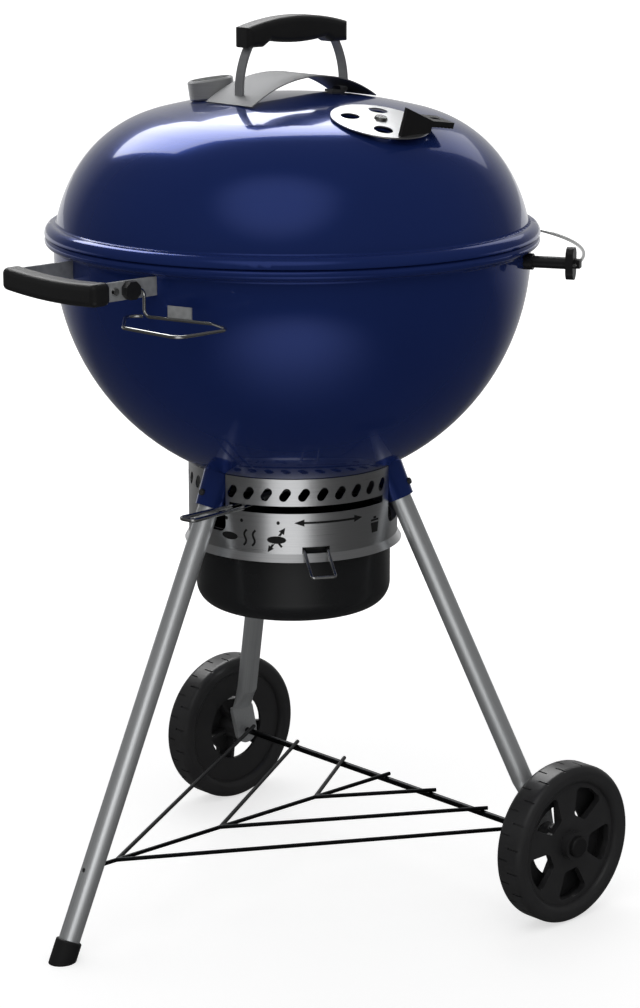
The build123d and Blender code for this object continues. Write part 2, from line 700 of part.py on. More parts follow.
RIVET_TOP = DAMPER_LIFT + DAMPER_T + LID_SEAT_GAP
RIVET_LOW = -SHEET - FIT_GAP
with BuildPart() as damper_rivet:
    with BuildSketch(DAMPER_PLANE.offset(RIVET_LOW)):
        Circle(DAMPER_RIVET_R)
    extrude(amount=RIVET_TOP - RIVET_LOW)
    with BuildSketch(DAMPER_PLANE.offset(RIVET_TOP)):
        Circle(RIVET_HEAD_R)
    extrude(amount=RIVET_HEAD_T, taper=HEAD_TAPER)
    with BuildSketch(DAMPER_PLANE.offset(RIVET_LOW)):
        Circle(RIVET_HEAD_R)
    extrude(amount=-RIVET_HEAD_T)
save(damper_rivet.part, "damper_rivet")

# Side handle: two steel arms stand on the bowl just below its bead, and their outer ends sit in
# slots in a nylon grip.
GRIP_INNER_X = HANDLE_REACH - HANDLE_GRIP_W / 2
ARM_END_X = GRIP_INNER_X + HANDLE_GRIP_W / 2
ARM_FOOT_X = sqrt(BOWL_R**2 - (ARM_Y + ARM_T) ** 2) - ARM_H
for side, name in ((-1, "front"), (1, "rear")):
    with BuildPart() as handle_arm:
        with BuildSketch(Plane.XZ.offset(-side * ARM_Y)):
            with Locations(((-ARM_END_X - ARM_FOOT_X) / 2, ARM_Z)):
                RectangleRounded(ARM_END_X - ARM_FOOT_X, ARM_H, ARM_T)
            with Locations((-HANDLE_SCREW_X, ARM_Z)):
                Circle(SCREW_R + FIT_GAP, mode=Mode.SUBTRACT)
        extrude(amount=ARM_T / 2, both=True)
        add(bowl_room.part, mode=Mode.SUBTRACT)
    save(handle_arm.part, f"side_handle_arm_{name}")

with BuildPart() as side_grip:
    with BuildSketch(Plane.YZ.offset(-GRIP_INNER_X)):
        with BuildLine():
            half = HANDLE_GRIP_L / 2
            low = ARM_Z - HANDLE_GRIP_H / 2
            high = ARM_Z + HANDLE_GRIP_H / 2
            ThreePointArc((-half, high), (0, high - HANDLE_BELLY), (half, high))
            Line((half, high), (half, low))
            ThreePointArc((half, low), (0, low - HANDLE_BELLY), (-half, low))
            Line((-half, low), (-half, high))
        make_face()
    extrude(amount=-HANDLE_GRIP_W)
    fillet(side_grip.edges(), radius=HANDLE_ROUND)
    with BuildSketch(Plane.XY.offset(ARM_Z)):
        with Locations((-GRIP_INNER_X, -ARM_Y), (-GRIP_INNER_X, ARM_Y)):
            Rectangle(HANDLE_GRIP_W + 2 * FIT_GAP, ARM_T + 2 * FIT_GAP)
    extrude(amount=ARM_H / 2 + FIT_GAP, both=True, mode=Mode.SUBTRACT)
save(side_grip.part, "side_handle_grip")

# Handle screws: one through each arm just inside the grip.
with BuildPart() as handle_screws:
    for side in (-1, 1):
        outward = Plane(origin=(-HANDLE_SCREW_X, side * (ARM_Y - ARM_T / 2), ARM_Z), z_dir=(0, side, 0))
        with BuildSketch(outward.offset(-2 * SCREW_R)):
            Circle(SCREW_R)
        extrude(amount=2 * SCREW_R + ARM_T + SEAT_GAP)
        with BuildSketch(outward.offset(ARM_T + SEAT_GAP)):
            Circle(2 * SCREW_R)
        extrude(amount=SCREW_R, taper=HEAD_TAPER)
        with BuildSketch(outward.offset(-SEAT_GAP)):
            RegularPolygon(2 * SCREW_R, 6)
        extrude(amount=-SCREW_R)
save(handle_screws.part, "side_handle_screws")

# Accessory ring: an oval wire hoop under the front arm. Its hanger goes up into a black octagonal
# clamp on the arm's outer face, and a small plate stands on the hoop's inner run.
CLAMP_FACE_Y = -ARM_Y - ARM_T / 2 - SEAT_GAP
HANGER_Y = CLAMP_FACE_Y - CLAMP_T / 2
with BuildPart() as ring_clamp:
    with BuildSketch(Plane.XZ.offset(-CLAMP_FACE_Y)):
        with Locations((-CLAMP_X, ARM_Z)):
            RegularPolygon(CLAMP_FLATS / 2, CLAMP_SIDES, major_radius=False, rotation=180 / CLAMP_SIDES)
    extrude(amount=CLAMP_T)
    clamp_centre = (-CLAMP_X, HANGER_Y, ARM_Z)
    rod(clamp_centre, (-CLAMP_X + CLAMP_FLATS, HANGER_Y, ARM_Z), RING_WIRE_R + SEAT_GAP, Mode.SUBTRACT)
save(ring_clamp.part, "ring_clamp")

RING_RUN = Vector(*RING_CORNERS[1]) - Vector(*RING_CORNERS[0])
RING_MIDDLE = Vector(*RING_CORNERS[0]) + RING_RUN / 2
HANGER_X = RING_CORNERS[0][0] + RING_RUN.X * (HANGER_Y - RING_CORNERS[0][1]) / RING_RUN.Y
RING_STOP = RING_RUN.normalized() * RING_WIRE_R / 2
with BuildPart() as accessory_ring:
    with BuildLine() as loop:
        hanger = FilletPolyline(
            clamp_centre,
            (HANGER_X, HANGER_Y, ARM_Z),
            (HANGER_X, HANGER_Y, RING_Z),
            (RING_MIDDLE.X, RING_MIDDLE.Y, RING_Z),
            radius=HANGER_BEND,
        )
        FilletPolyline(
            hanger @ 1,
            *[(x, y, RING_Z) for x, y in RING_CORNERS[1:] + RING_CORNERS[:1]],
            (HANGER_X - RING_STOP.X, HANGER_Y - RING_STOP.Y, RING_Z),
            radius=RING_BEND,
        )
    wire(loop.wire(), RING_WIRE_R)
save(accessory_ring.part, "accessory_ring")

PLATE_AT = Vector(*RING_CORNERS[0]) + RING_RUN * RING_PLATE_AT
PLATE_FOOT = (PLATE_AT.X, PLATE_AT.Y, RING_Z + RING_WIRE_R + SEAT_GAP)
with BuildPart() as ring_plate:
    with BuildSketch(Plane(origin=PLATE_FOOT, x_dir=RING_RUN, z_dir=(0, 0, 1))):
        Rectangle(RING_PLATE_L, RING_PLATE_T)
    extrude(amount=RING_PLATE_H)
save(ring_plate.part, "ring_plate")

# Lid holder: two nylon posts stand out from the bowl over the wheel legs, each with a tall end plate
# and a clip, and one wire hoop runs through both clips round the back of the bowl.
TEE_FACE = POST_REACH + POST_TEE_T
CLIP_L = HOOP_R + 2 * HOOP_WIRE_R - TEE_FACE
with BuildPart() as holder_post:
    with BuildSketch(radial_plane(-POST_AZ, BOWL_R - POST_FLANGE_R, POST_Z)):
        Circle(POST_FLANGE_R)
    extrude(amount=POST_FLANGE_L + POST_FLANGE_R)
    with BuildSketch(radial_plane(-POST_AZ, BOWL_R - POST_FLANGE_R, POST_Z)):
        Circle(POST_R)
    extrude(amount=POST_REACH - BOWL_R + POST_FLANGE_R)
    add(bowl_room.part, mode=Mode.SUBTRACT)
    with BuildSketch(radial_plane(-POST_AZ, POST_REACH, POST_Z)):
        SlotOverall(POST_TEE_H, POST_TEE_W, rotation=90)
    extrude(amount=POST_TEE_T)
    with BuildSketch(radial_plane(-POST_AZ, TEE_FACE, POST_Z)):
        Rectangle(HOOP_CLIP_W, HOOP_CLIP_H)
    extrude(amount=CLIP_L)
    clip = radial_plane(-POST_AZ, HOOP_R, POST_Z)
    with BuildSketch(Plane(origin=clip.origin, z_dir=clip.x_dir)):
        Circle(HOOP_WIRE_R + FIT_GAP)
    extrude(amount=HOOP_CLIP_W, both=True, mode=Mode.SUBTRACT)
save(holder_post.part, "lid_holder_post_front")
save(mirror(holder_post.part, about=Plane.XZ), "lid_holder_post_rear")

HOOP_HALF = POST_AZ + HOOP_PAST_POST


def ring_arc(radius, height, wire_r, start, sweep_angle):
    """Add part of a horizontal ring of round wire to the part being built."""
    turn = radians(start)
    out = (cos(turn), sin(turn), 0)
    across = (sin(turn), -cos(turn), 0)
    with BuildSketch(Plane(origin=(0, 0, height), x_dir=out, z_dir=across)) as section:
        with Locations((radius, 0)):
            Circle(wire_r)
    revolve(section.sketch, axis=Axis.Z, revolution_arc=sweep_angle)


with BuildPart() as holder_hoop:
    ring_arc(HOOP_R, POST_Z, HOOP_WIRE_R, -HOOP_HALF, 2 * HOOP_HALF)
save(holder_hoop.part, "lid_holder_hoop")

# Grates: round rods welded under a ring. The cooking grate's middle is fixed, and a flap on each
# side hangs on two wire eyes that turn on the frame's edge rod.
BOWL_IN_R = BOWL_R - SHEET
EYE_R = GRATE_RING_R + LID_SEAT_GAP + EYE_WIRE_R
FLAP_X = FLAP_HINGE_X + EYE_R + EYE_WIRE_R + GRATE_ROD_R - WELD
TIE_Z = GRATE_Z - 2 * GRATE_ROD_R + WELD


def half_chord(radius, offset):
    return sqrt(radius**2 - offset**2)


EDGE_AZ = degrees(acos(FLAP_HINGE_X / GRATE_R))
with BuildPart() as grate_frame:
    for start in (EDGE_AZ, 180 + EDGE_AZ):
        ring_arc(GRATE_R, GRATE_Z, GRATE_RING_R, start, 180 - 2 * EDGE_AZ)
    for side in (-1, 1):
        reach = half_chord(GRATE_R, FLAP_HINGE_X)
        edge_x = side * FLAP_HINGE_X
        rod((edge_x, -reach, GRATE_Z), (edge_x, reach, GRATE_Z), GRATE_RING_R)
    for index in range(GRATE_RODS):
        x = (index - (GRATE_RODS - 1) / 2) * GRATE_PITCH
        reach = half_chord(GRATE_R, x)
        rod((x, -reach, GRATE_Z), (x, reach, GRATE_Z), GRATE_ROD_R)
    for y in (-ROD_Y, ROD_Y):
        rod((-FLAP_HINGE_X, y, TIE_Z), (FLAP_HINGE_X, y, TIE_Z), GRATE_ROD_R)
save(grate_frame.part, "cooking_grate_frame")

FLAP_AZ = degrees(acos(FLAP_X / GRATE_R))
for side, name in ((-1, "left"), (1, "right")):
    with BuildPart() as grate_flap:
        middle = 90 - 90 * side
        ring_arc(GRATE_R, GRATE_Z, GRATE_RING_R, middle - FLAP_AZ, 2 * FLAP_AZ)
        for index in range(FLAP_RODS):
            x = FLAP_X + index * GRATE_PITCH
            reach = half_chord(GRATE_R, x)
            rod((side * x, -reach, GRATE_Z), (side * x, reach, GRATE_Z), GRATE_ROD_R)
        for y in (-FLAP_TIE_Y, FLAP_TIE_Y):
            rod((side * FLAP_X, y, TIE_Z), (side * half_chord(GRATE_R, y), y, TIE_Z), GRATE_ROD_R)
        for y in (-EYE_Y, EYE_Y):
            with Locations(Location((side * FLAP_HINGE_X, y, GRATE_Z), (90, 0, 0))):
                Torus(EYE_R, EYE_WIRE_R)
    save(grate_flap.part, f"cooking_grate_flap_{name}")

COAL_TIE_Z = COAL_Z - 2 * COAL_ROD_R + WELD
with BuildPart() as coal_grate:
    ring_arc(COAL_R, COAL_Z, COAL_ROD_R, 0, 360)
    for index in range(COAL_RODS):
        x = (index - (COAL_RODS - 1) / 2) * COAL_PITCH
        reach = half_chord(COAL_R, x)
        rod((x, -reach, COAL_Z), (x, reach, COAL_Z), COAL_ROD_R)
    for y in (-COAL_TIE_Y, COAL_TIE_Y):
        reach = half_chord(COAL_R, y)
        rod((-reach, y, COAL_TIE_Z), (reach, y, COAL_TIE_Z), COAL_ROD_R)
save(coal_grate.part, "charcoal_grate")


# Grate brackets: short shelves welded to the inside of the bowl under each ring.
def bracket(azimuth, ring_r, top):
    """Add a shelf from just inside a grate's ring out through the bowl's wall."""
    start = radial_plane(azimuth, ring_r - BRACKET_REACH, top - BRACKET_T / 2)
    with BuildSketch(start) as section:
        Rectangle(BRACKET_W, BRACKET_T)
    extrude(section.sketch, amount=BOWL_R - ring_r + BRACKET_REACH)


with BuildPart() as cooking_brackets:
    for index in range(4):
        bracket(90 * index, GRATE_R, GRATE_Z - GRATE_RING_R - SEAT_GAP)
    with Locations((0, 0, EQUATOR_Z)):
        Sphere(BOWL_IN_R - SEAT_GAP, mode=Mode.INTERSECT)
save(cooking_brackets.part, "cooking_grate_brackets")

with BuildPart() as coal_brackets:
    for index in range(3):
        bracket(90 + 120 * index, COAL_R, COAL_Z - COAL_ROD_R - SEAT_GAP)
    with Locations((0, 0, EQUATOR_Z)):
        Sphere(BOWL_IN_R - SEAT_GAP, mode=Mode.INTERSECT)
save(coal_brackets.part, "charcoal_grate_brackets")

# Vent sweeper: three blades curved about the bowl's own centre on a shaft through its floor. Below
# the bowl a lever on the shaft carries a wire pull loop out through the collar's slot.
BLADE_R = BOWL_IN_R - BLADE_LIFT
HUB_TOP_Z = EQUATOR_Z - BLADE_R + 3 * SHAFT_R
LEVER_LOW_Z = LEVER_Z - LEVER_T / 2
with BuildPart() as sweeper_blades:
    with BuildSketch(Plane.XZ):
        with Locations((0, EQUATOR_Z)):
            Circle(BLADE_R)
            Circle(BLADE_R - BLADE_T, mode=Mode.SUBTRACT)
        with Locations((0, EQUATOR_Z - BLADE_R)):
            Rectangle(BLADE_OUT, BLADE_OUT, align=(Align.MIN, Align.CENTER), mode=Mode.INTERSECT)
    revolve(axis=Axis.Z)
    with BuildSketch(Plane.XY.offset(BOWL_BOTTOM_Z)):
        with PolarLocations(BLADE_OUT / 2, 3):
            SlotOverall(BLADE_OUT + BLADE_W / 2, BLADE_W)
    extrude(amount=BLADE_OUT, mode=Mode.INTERSECT)
    with BuildSketch(Plane.XY.offset(EQUATOR_Z - BLADE_R + BLADE_T / 2)):
        Circle(HUB_R)
    extrude(amount=HUB_TOP_Z - EQUATOR_Z + BLADE_R - BLADE_T / 2)
    with BuildSketch(Plane.XY.offset(BOWL_BOTTOM_Z)):
        Circle(SHAFT_R + SEAT_GAP)
    extrude(amount=BLADE_OUT, mode=Mode.SUBTRACT)
save(sweeper_blades.part, "sweeper_blades")

with BuildPart() as sweeper_shaft:
    with BuildSketch(Plane.XY.offset(LEVER_LOW_Z - SEAT_GAP)):
        Circle(SHAFT_R)
    extrude(amount=HUB_TOP_Z - LEVER_LOW_Z + SHAFT_R)
    with BuildSketch(Plane.XY.offset(LEVER_LOW_Z - SEAT_GAP)):
        Circle(SHAFT_HEAD_R)
    extrude(amount=-SHAFT_R)
save(sweeper_shaft.part, "sweeper_shaft")

LEVER_OUT = (cos(radians(LEVER_AZ)), sin(radians(LEVER_AZ)), 0)
LEVER_PLANE = Plane(origin=(0, 0, LEVER_Z), x_dir=LEVER_OUT, z_dir=(0, 0, 1))
with BuildPart() as sweeper_lever:
    with BuildSketch(LEVER_PLANE):
        Circle(HUB_R)
        with Locations((LEVER_L / 2, 0)):
            RectangleRounded(LEVER_L, LEVER_W, LEVER_W / 3)
        Circle(SHAFT_R + SEAT_GAP, mode=Mode.SUBTRACT)
    extrude(amount=LEVER_T / 2, both=True)
save(sweeper_lever.part, "sweeper_lever")

PULL_Y = LEVER_W / 2 + PULL_WIRE_R + SEAT_GAP
with BuildPart() as sweeper_pull:
    with BuildLine(LEVER_PLANE) as loop:
        FilletPolyline(
            (PULL_ROOT, PULL_Y),
            (COLLAR_R, PULL_Y),
            (PULL_TIP, -PULL_SIDE),
            (PULL_TIP - PULL_WIRE_R, -PULL_SIDE - PULL_W),
            (COLLAR_R, -PULL_Y),
            (PULL_ROOT, -PULL_Y),
            radius=PULL_BEND,
        )
    wire(loop.wire(), PULL_WIRE_R)
save(sweeper_pull.part, "sweeper_pull")

# Ash collar: a thin drum under the bowl, notched for the leg sockets. Each plate between two legs
# has a row of slanted vent holes, and the front plate has the lever slot and the bail slot.
COLLAR_TOP_Z = EQUATOR_Z - half_chord(BOWL_R, COLLAR_IN_R) - FIT_GAP
PULL_SWING = degrees(asin((PULL_Y + 2 * PULL_WIRE_R) / COLLAR_R))
SLOT_START = LEVER_AZ - PULL_SWING
NOTCH_H = COLLAR_TOP_Z - COLLAR_NOTCH_Z + COLLAR_NOTCH_W
BAIL_SLOT_W = 2 * (BAIL_HALF_W + BAIL_WIRE_R) + 1
BAIL_TURN = radians(BAIL_AZ)
BAIL_FALL = radians(BAIL_DROOP)
BAIL_SLOT_Z = BAIL_Z - BAIL_WIRE_R / cos(BAIL_FALL) - COLLAR_T / 2 * tan(BAIL_FALL) - SEAT_GAP
BAIL_SLOT_H = 4 * BAIL_WIRE_R
with BuildPart() as ash_collar:
    with BuildSketch(Plane.XZ):
        with BuildLine():
            flare = COLLAR_R + COLLAR_FLARE
            Polyline(
                (COLLAR_R, COLLAR_TOP_Z),
                (COLLAR_R, COLLAR_FLARE_Z),
                (flare, COLLAR_BOTTOM_Z),
                (flare - COLLAR_T, COLLAR_BOTTOM_Z),
                (COLLAR_IN_R, COLLAR_FLARE_Z),
                (COLLAR_IN_R, COLLAR_RIB_Z),
                (COLLAR_RIB_R, COLLAR_RIB_Z + COLLAR_T),
                (COLLAR_RIB_R, COLLAR_RIB_Z + 3 * COLLAR_T),
                (COLLAR_IN_R, COLLAR_RIB_Z + 4 * COLLAR_T),
                (COLLAR_IN_R, COLLAR_TOP_Z),
                close=True,
            )
        make_face()
    revolve(axis=Axis.Z)
    for azimuth in LEG_AZ.values():
        with BuildSketch(radial_plane(azimuth, COLLAR_R, COLLAR_NOTCH_Z + NOTCH_H / 2)):
            RectangleRounded(COLLAR_NOTCH_W, NOTCH_H, COLLAR_NOTCH_W / 4)
        extrude(amount=COLLAR_NOTCH_W / 2, both=True, mode=Mode.SUBTRACT)
    for middle in (0, 120, 240):
        for index in range(COLLAR_HOLES):
            azimuth = middle + COLLAR_HOLE_SHIFT + (index - (COLLAR_HOLES - 1) / 2) * COLLAR_HOLE_STEP
            with BuildSketch(radial_plane(azimuth, COLLAR_R, COLLAR_HOLE_Z)):
                SlotOverall(COLLAR_HOLE_L, COLLAR_HOLE_W, rotation=90 - COLLAR_HOLE_LEAN)
            extrude(amount=COLLAR_HOLE_W, both=True, mode=Mode.SUBTRACT)
    across = radians(SLOT_START)
    slot_face = Plane(
        origin=(0, 0, LEVER_Z),
        x_dir=(cos(across), sin(across), 0),
        z_dir=(sin(across), -cos(across), 0),
    )
    with BuildSketch(slot_face):
        with Locations((COLLAR_R, 0)):
            Rectangle(COLLAR_SLOT_H, COLLAR_SLOT_H)
    revolve(axis=Axis.Z, revolution_arc=LEVER_TRAVEL + 2 * PULL_SWING, mode=Mode.SUBTRACT)
    with BuildSketch(radial_plane(BAIL_AZ, COLLAR_R, BAIL_SLOT_Z)):
        Rectangle(BAIL_SLOT_W, BAIL_SLOT_H, align=(Align.CENTER, Align.MIN))
    extrude(amount=BAIL_SLOT_H, both=True, mode=Mode.SUBTRACT)
save(ash_collar.part, "ash_collar")

# Ash bucket: a pressed pan with a rounded bottom corner and a stiffened rim inside the collar's rib.
with BuildPart() as ash_bucket:
    with BuildSketch(Plane.XZ):
        with BuildLine():
            flat_r = BUCKET_R - BUCKET_CORNER
            pan_z = BUCKET_BOTTOM_Z + SHEET
            floor = Line((0, BUCKET_BOTTOM_Z), (flat_r, BUCKET_BOTTOM_Z))
            corner = JernArc(floor @ 1, (1, 0), BUCKET_CORNER, 90)
            pan_floor = Line((0, pan_z), (flat_r, pan_z))
            pan_corner = JernArc(pan_floor @ 1, (1, 0), BUCKET_CORNER - SHEET, 90)
            Polyline(
                corner @ 1,
                (BUCKET_R, BUCKET_TOP_Z - BUCKET_RIM_H),
                (BUCKET_RIM_R, BUCKET_TOP_Z - BUCKET_RIM_H + SHEET),
                (BUCKET_RIM_R, BUCKET_TOP_Z),
                (BUCKET_R - SHEET, BUCKET_TOP_Z),
                pan_corner @ 1,
            )
            Line(floor @ 0, pan_floor @ 0)
        make_face()
    revolve(axis=Axis.Z)
save(ash_bucket.part, "ash_bucket")

# Bucket release bail: a wire bow whose turned-out ends hook behind the collar's bail slot.
BAIL_PIVOT = radial_plane(BAIL_AZ, COLLAR_R - COLLAR_T / 2, BAIL_Z)
BAIL_OUTWARD = (cos(BAIL_FALL) * cos(BAIL_TURN), cos(BAIL_FALL) * sin(BAIL_TURN), -sin(BAIL_FALL))
BAIL_UP = (sin(BAIL_FALL) * cos(BAIL_TURN), sin(BAIL_FALL) * sin(BAIL_TURN), cos(BAIL_FALL))
with BuildPart() as release_bail:
    with BuildLine(Plane(origin=BAIL_PIVOT.origin, x_dir=BAIL_OUTWARD, z_dir=BAIL_UP)) as bow:
        FilletPolyline(
            (-BAIL_HOOK_IN, BAIL_HALF_W + BAIL_HOOK),
            (-BAIL_HOOK_IN, BAIL_HALF_W),
            (BAIL_OUT, BAIL_HALF_W),
            (BAIL_OUT, -BAIL_HALF_W),
            (-BAIL_HOOK_IN, -BAIL_HALF_W),
            (-BAIL_HOOK_IN, -BAIL_HALF_W - BAIL_HOOK),
            radius=BAIL_BEND,
        )
    wire(bow.wire(), BAIL_WIRE_R)
save(release_bail.part, "release_bail")

# Leg sockets: enamelled sleeves that widen to meet the bowl square on, because each leg's line runs
# through the bowl's centre. A sprung button through sleeve and tube locks each leg.


def socket_top(radius):
    """A point on the socket's seat: how far up the leg the bowl is at a distance from the leg's axis."""
    return (radius, BOWL_R + SOCKET_L - half_chord(BOWL_R + SEAT_GAP, radius))


TUBE_IN_R = LEG_R - LEG_WALL
BUTTON_FLANGE_OUT = half_chord(TUBE_IN_R, BUTTON_FLANGE_R) - LID_SEAT_GAP
LEG_END_Z = FOOT_FLOOR + LEG_R * sin(LEAN)
for name, azimuth in LEG_AZ.items():
    foot_end = leg_plane(azimuth, SOCKET_BOTTOM_Z)
    button_axis = leg_plane(azimuth, BUTTON_Z)
    button_face = Plane(origin=button_axis.origin, x_dir=button_axis.y_dir, z_dir=button_axis.x_dir)
    with BuildPart() as leg_socket:
        with BuildSketch(side_of(foot_end)):
            with BuildLine():
                bore, rim = socket_top(SOCKET_BORE_R), socket_top(SOCKET_RIM_R)
                Polyline(bore, (SOCKET_BORE_R, 0), (SOCKET_R, 0), rim)
                ThreePointArc(rim, socket_top(SOCKET_R), bore)
            make_face()
        revolve(axis=axis_of(foot_end))
        with BuildSketch(button_face):
            Circle(BUTTON_R + RUN_GAP)
        extrude(amount=SOCKET_R + 2 * SOCKET_FLARE, mode=Mode.SUBTRACT)
    save(leg_socket.part, f"leg_socket_{name}")

    with BuildPart() as leg_button:
        with BuildSketch(button_face.offset(BUTTON_FLANGE_OUT)):
            Circle(BUTTON_FLANGE_R)
        extrude(amount=-BUTTON_R / 2)
        with BuildSketch(button_face.offset(BUTTON_FLANGE_OUT - BUTTON_R / 2)):
            Circle(BUTTON_R)
        extrude(amount=SOCKET_R + SOCKET_FLARE / 2 + BUTTON_PROUD - BUTTON_FLANGE_OUT + BUTTON_R / 2)
        fillet(leg_button.edges().sort_by(axis_of(button_face))[-1], radius=BUTTON_R / 2)
    save(leg_button.part, f"leg_button_{name}")

    tube_end = leg_plane(azimuth, LEG_END_Z if name == "foot" else LEG_PINCH_Z)
    tube_l = along_leg(tube_end.origin.Z, LEG_TOP_Z)
    side = 1 if azimuth > 0 else -1
    with BuildPart() as leg:
        with BuildSketch(tube_end):
            Circle(LEG_R)
        extrude(amount=tube_l)
        with BuildSketch(tube_end):
            Circle(TUBE_IN_R)
        extrude(amount=tube_l, mode=Mode.SUBTRACT)
        with BuildSketch(button_face):
            Circle(BUTTON_R + RUN_GAP)
        extrude(amount=SOCKET_R, mode=Mode.SUBTRACT)
        if name == "foot":
            rod((-FOOT_REACH + LEG_R, 0, RACK_Z), (0, 0, RACK_Z), RACK_WIRE_R + FIT_GAP, Mode.SUBTRACT)
        else:
            paddle_top = leg_point(azimuth, PADDLE_Z)
            with BuildSketch(Plane(origin=tube_end.origin, x_dir=(1, 0, 0), z_dir=tube_end.z_dir)):
                Circle(LEG_R)
            with BuildSketch(Plane(origin=(paddle_top[0], side * PADDLE_Y, PADDLE_Z))):
                Ellipse(PADDLE_W / 2, PADDLE_T / 2)
            loft()
            with BuildSketch(Plane.XZ.offset(-side * PADDLE_Y)):
                with Locations((AXLE_X, AXLE_Z)):
                    Circle(PADDLE_W / 2)
                with Locations((paddle_top[0], PADDLE_Z)):
                    Rectangle(PADDLE_W, PADDLE_T)
                make_hull()
                with Locations((AXLE_X, AXLE_Z)):
                    Circle(AXLE_R + SEAT_GAP, mode=Mode.SUBTRACT)
            extrude(amount=PADDLE_T / 2, both=True)
    save(leg.part, f"leg_{name}")

# Foot cap: a moulded plug over the foot leg's end, cut level with the floor.
FOOT_TOP = leg_plane(LEG_AZ["foot"], 0)
with BuildPart() as foot_cap:
    with BuildSketch(FOOT_TOP.offset(-FOOT_CAP_R)):
        Circle(FOOT_CAP_R)
    extrude(amount=FOOT_CAP_L + FOOT_CAP_R)
    fillet(foot_cap.edges().sort_by(Axis.Z)[-1], radius=FOOT_CAP_R - LEG_R - 2 * FIT_GAP)
    with BuildSketch(leg_plane(LEG_AZ["foot"], LEG_END_Z).offset(-FIT_GAP)):
        Circle(LEG_R + SEAT_GAP)
    extrude(amount=FOOT_CAP_L, mode=Mode.SUBTRACT)
    with BuildSketch(Plane.XY):
        with Locations((-FOOT_REACH, 0)):
            Rectangle(6 * FOOT_CAP_R, 6 * FOOT_CAP_R)
    extrude(amount=-2 * FOOT_CAP_R, mode=Mode.SUBTRACT)
save(foot_cap.part, "foot_cap")

# Axle, wheels and hub caps: the axle is fixed through both leg paddles, and each moulded wheel turns
# on it between a paddle and a hub cap. A wheel is a dished web with windows and ribs, closed behind
# the windows by a ring, and its tread has two staggered rows of sipes.
HUB_IN_Y = PADDLE_Y + PADDLE_T / 2 + AXLE_END_GAP
HUB_OUT_Y = WHEEL_Y + WHEEL_W / 2 + WHEEL_HUB_PROUD
CAP_Y = HUB_OUT_Y + AXLE_END_GAP
AXLE_END_Y = CAP_Y + HUB_CAP_T / 2
WHEEL_FACE_Y = WHEEL_Y + WHEEL_W / 2
WEB_OUT_Y = WHEEL_FACE_Y - WHEEL_WEB_T
WEB_IN_Y = WEB_OUT_Y - WHEEL_WEB_T
BACK_Y = WHEEL_Y - WHEEL_W / 4
RIB_START = WINDOW_START + 180 / WHEEL_WINDOWS
RIM_IN_R = WHEEL_R - WHEEL_RIM_T
with BuildPart() as axle:
    rod((AXLE_X, -AXLE_END_Y, AXLE_Z), (AXLE_X, AXLE_END_Y, AXLE_Z), AXLE_R)
save(axle.part, "axle")

for side, name in ((-1, "front"), (1, "rear")):
    wheel_side = Plane(origin=(AXLE_X, 0, AXLE_Z), x_dir=(0, 0, 1), z_dir=(-side, 0, 0))
    wheel_axis = Axis((AXLE_X, 0, AXLE_Z), (0, 1, 0))
    with BuildPart() as wheel:
        with BuildSketch(wheel_side):
            with Locations(((RIM_IN_R + WHEEL_R) / 2, WHEEL_Y)):
                RectangleRounded(WHEEL_RIM_T, WHEEL_W, WHEEL_SHOULDER)
            with Locations(((WHEEL_HUB_R + RIM_IN_R) / 2, (WEB_IN_Y + WEB_OUT_Y) / 2)):
                Rectangle(RIM_IN_R - WHEEL_HUB_R + WHEEL_SHOULDER, WEB_OUT_Y - WEB_IN_Y)
            with Locations((WHEEL_HUB_R / 2, (HUB_IN_Y + HUB_OUT_Y) / 2)):
                Rectangle(WHEEL_HUB_R, HUB_OUT_Y - HUB_IN_Y)
            with Locations(((WHEEL_BACK_R + RIM_IN_R + WHEEL_SHOULDER) / 2, BACK_Y)):
                Rectangle(RIM_IN_R + WHEEL_SHOULDER - WHEEL_BACK_R, WHEEL_RIB_T)
        revolve(axis=wheel_axis)
        outer_face = Plane(origin=(AXLE_X, side * WEB_OUT_Y, AXLE_Z), x_dir=(1, 0, 0), z_dir=(0, side, 0))
        with BuildSketch(outer_face) as windows:
            with PolarLocations(0, WHEEL_WINDOWS, start_angle=WINDOW_START):
                Polygon(*WINDOW, align=None)
            fillet(windows.vertices(), radius=WINDOW_ROUND)
        extrude(amount=-2 * WHEEL_WEB_T, mode=Mode.SUBTRACT)
        with BuildSketch(outer_face.offset(-WHEEL_WEB_T)):
            with PolarLocations((WHEEL_HUB_R + RIM_IN_R) / 2, WHEEL_WINDOWS, start_angle=RIB_START):
                Rectangle(RIM_IN_R - WHEEL_HUB_R + WHEEL_RIB_T, WHEEL_RIB_T)
        extrude(amount=BACK_Y - WEB_IN_Y)
        for index in range(2):
            with BuildSketch(Plane(origin=(AXLE_X, side * WHEEL_Y, AXLE_Z), z_dir=(0, 1, 0))):
                with PolarLocations(WHEEL_R, SIPES, start_angle=180 * index / SIPES):
                    Rectangle(2 * SIPE_DEPTH, SIPE_W)
            extrude(amount=(1 - 2 * index) * WHEEL_W / 2, mode=Mode.SUBTRACT)
        rod((AXLE_X, 0, AXLE_Z), (AXLE_X, side * 2 * WHEEL_Y, AXLE_Z), AXLE_R + RUN_GAP, Mode.SUBTRACT)
    save(wheel.part, f"wheel_{name}")

    with BuildPart() as hub_cap:
        with BuildSketch(Plane(origin=(AXLE_X, side * CAP_Y, AXLE_Z), z_dir=(0, side, 0))):
            Circle(HUB_CAP_R)
        extrude(amount=HUB_CAP_T)
        fillet(hub_cap.edges().sort_by(Axis.Y)[-1 if side > 0 else 0], radius=HUB_CAP_T / 2)
        bore_end = (AXLE_X, side * (AXLE_END_Y + FIT_GAP), AXLE_Z)
        rod((AXLE_X, 0, AXLE_Z), bore_end, AXLE_R + SEAT_GAP, Mode.SUBTRACT)
    save(hub_cap.part, f"hub_cap_{name}")

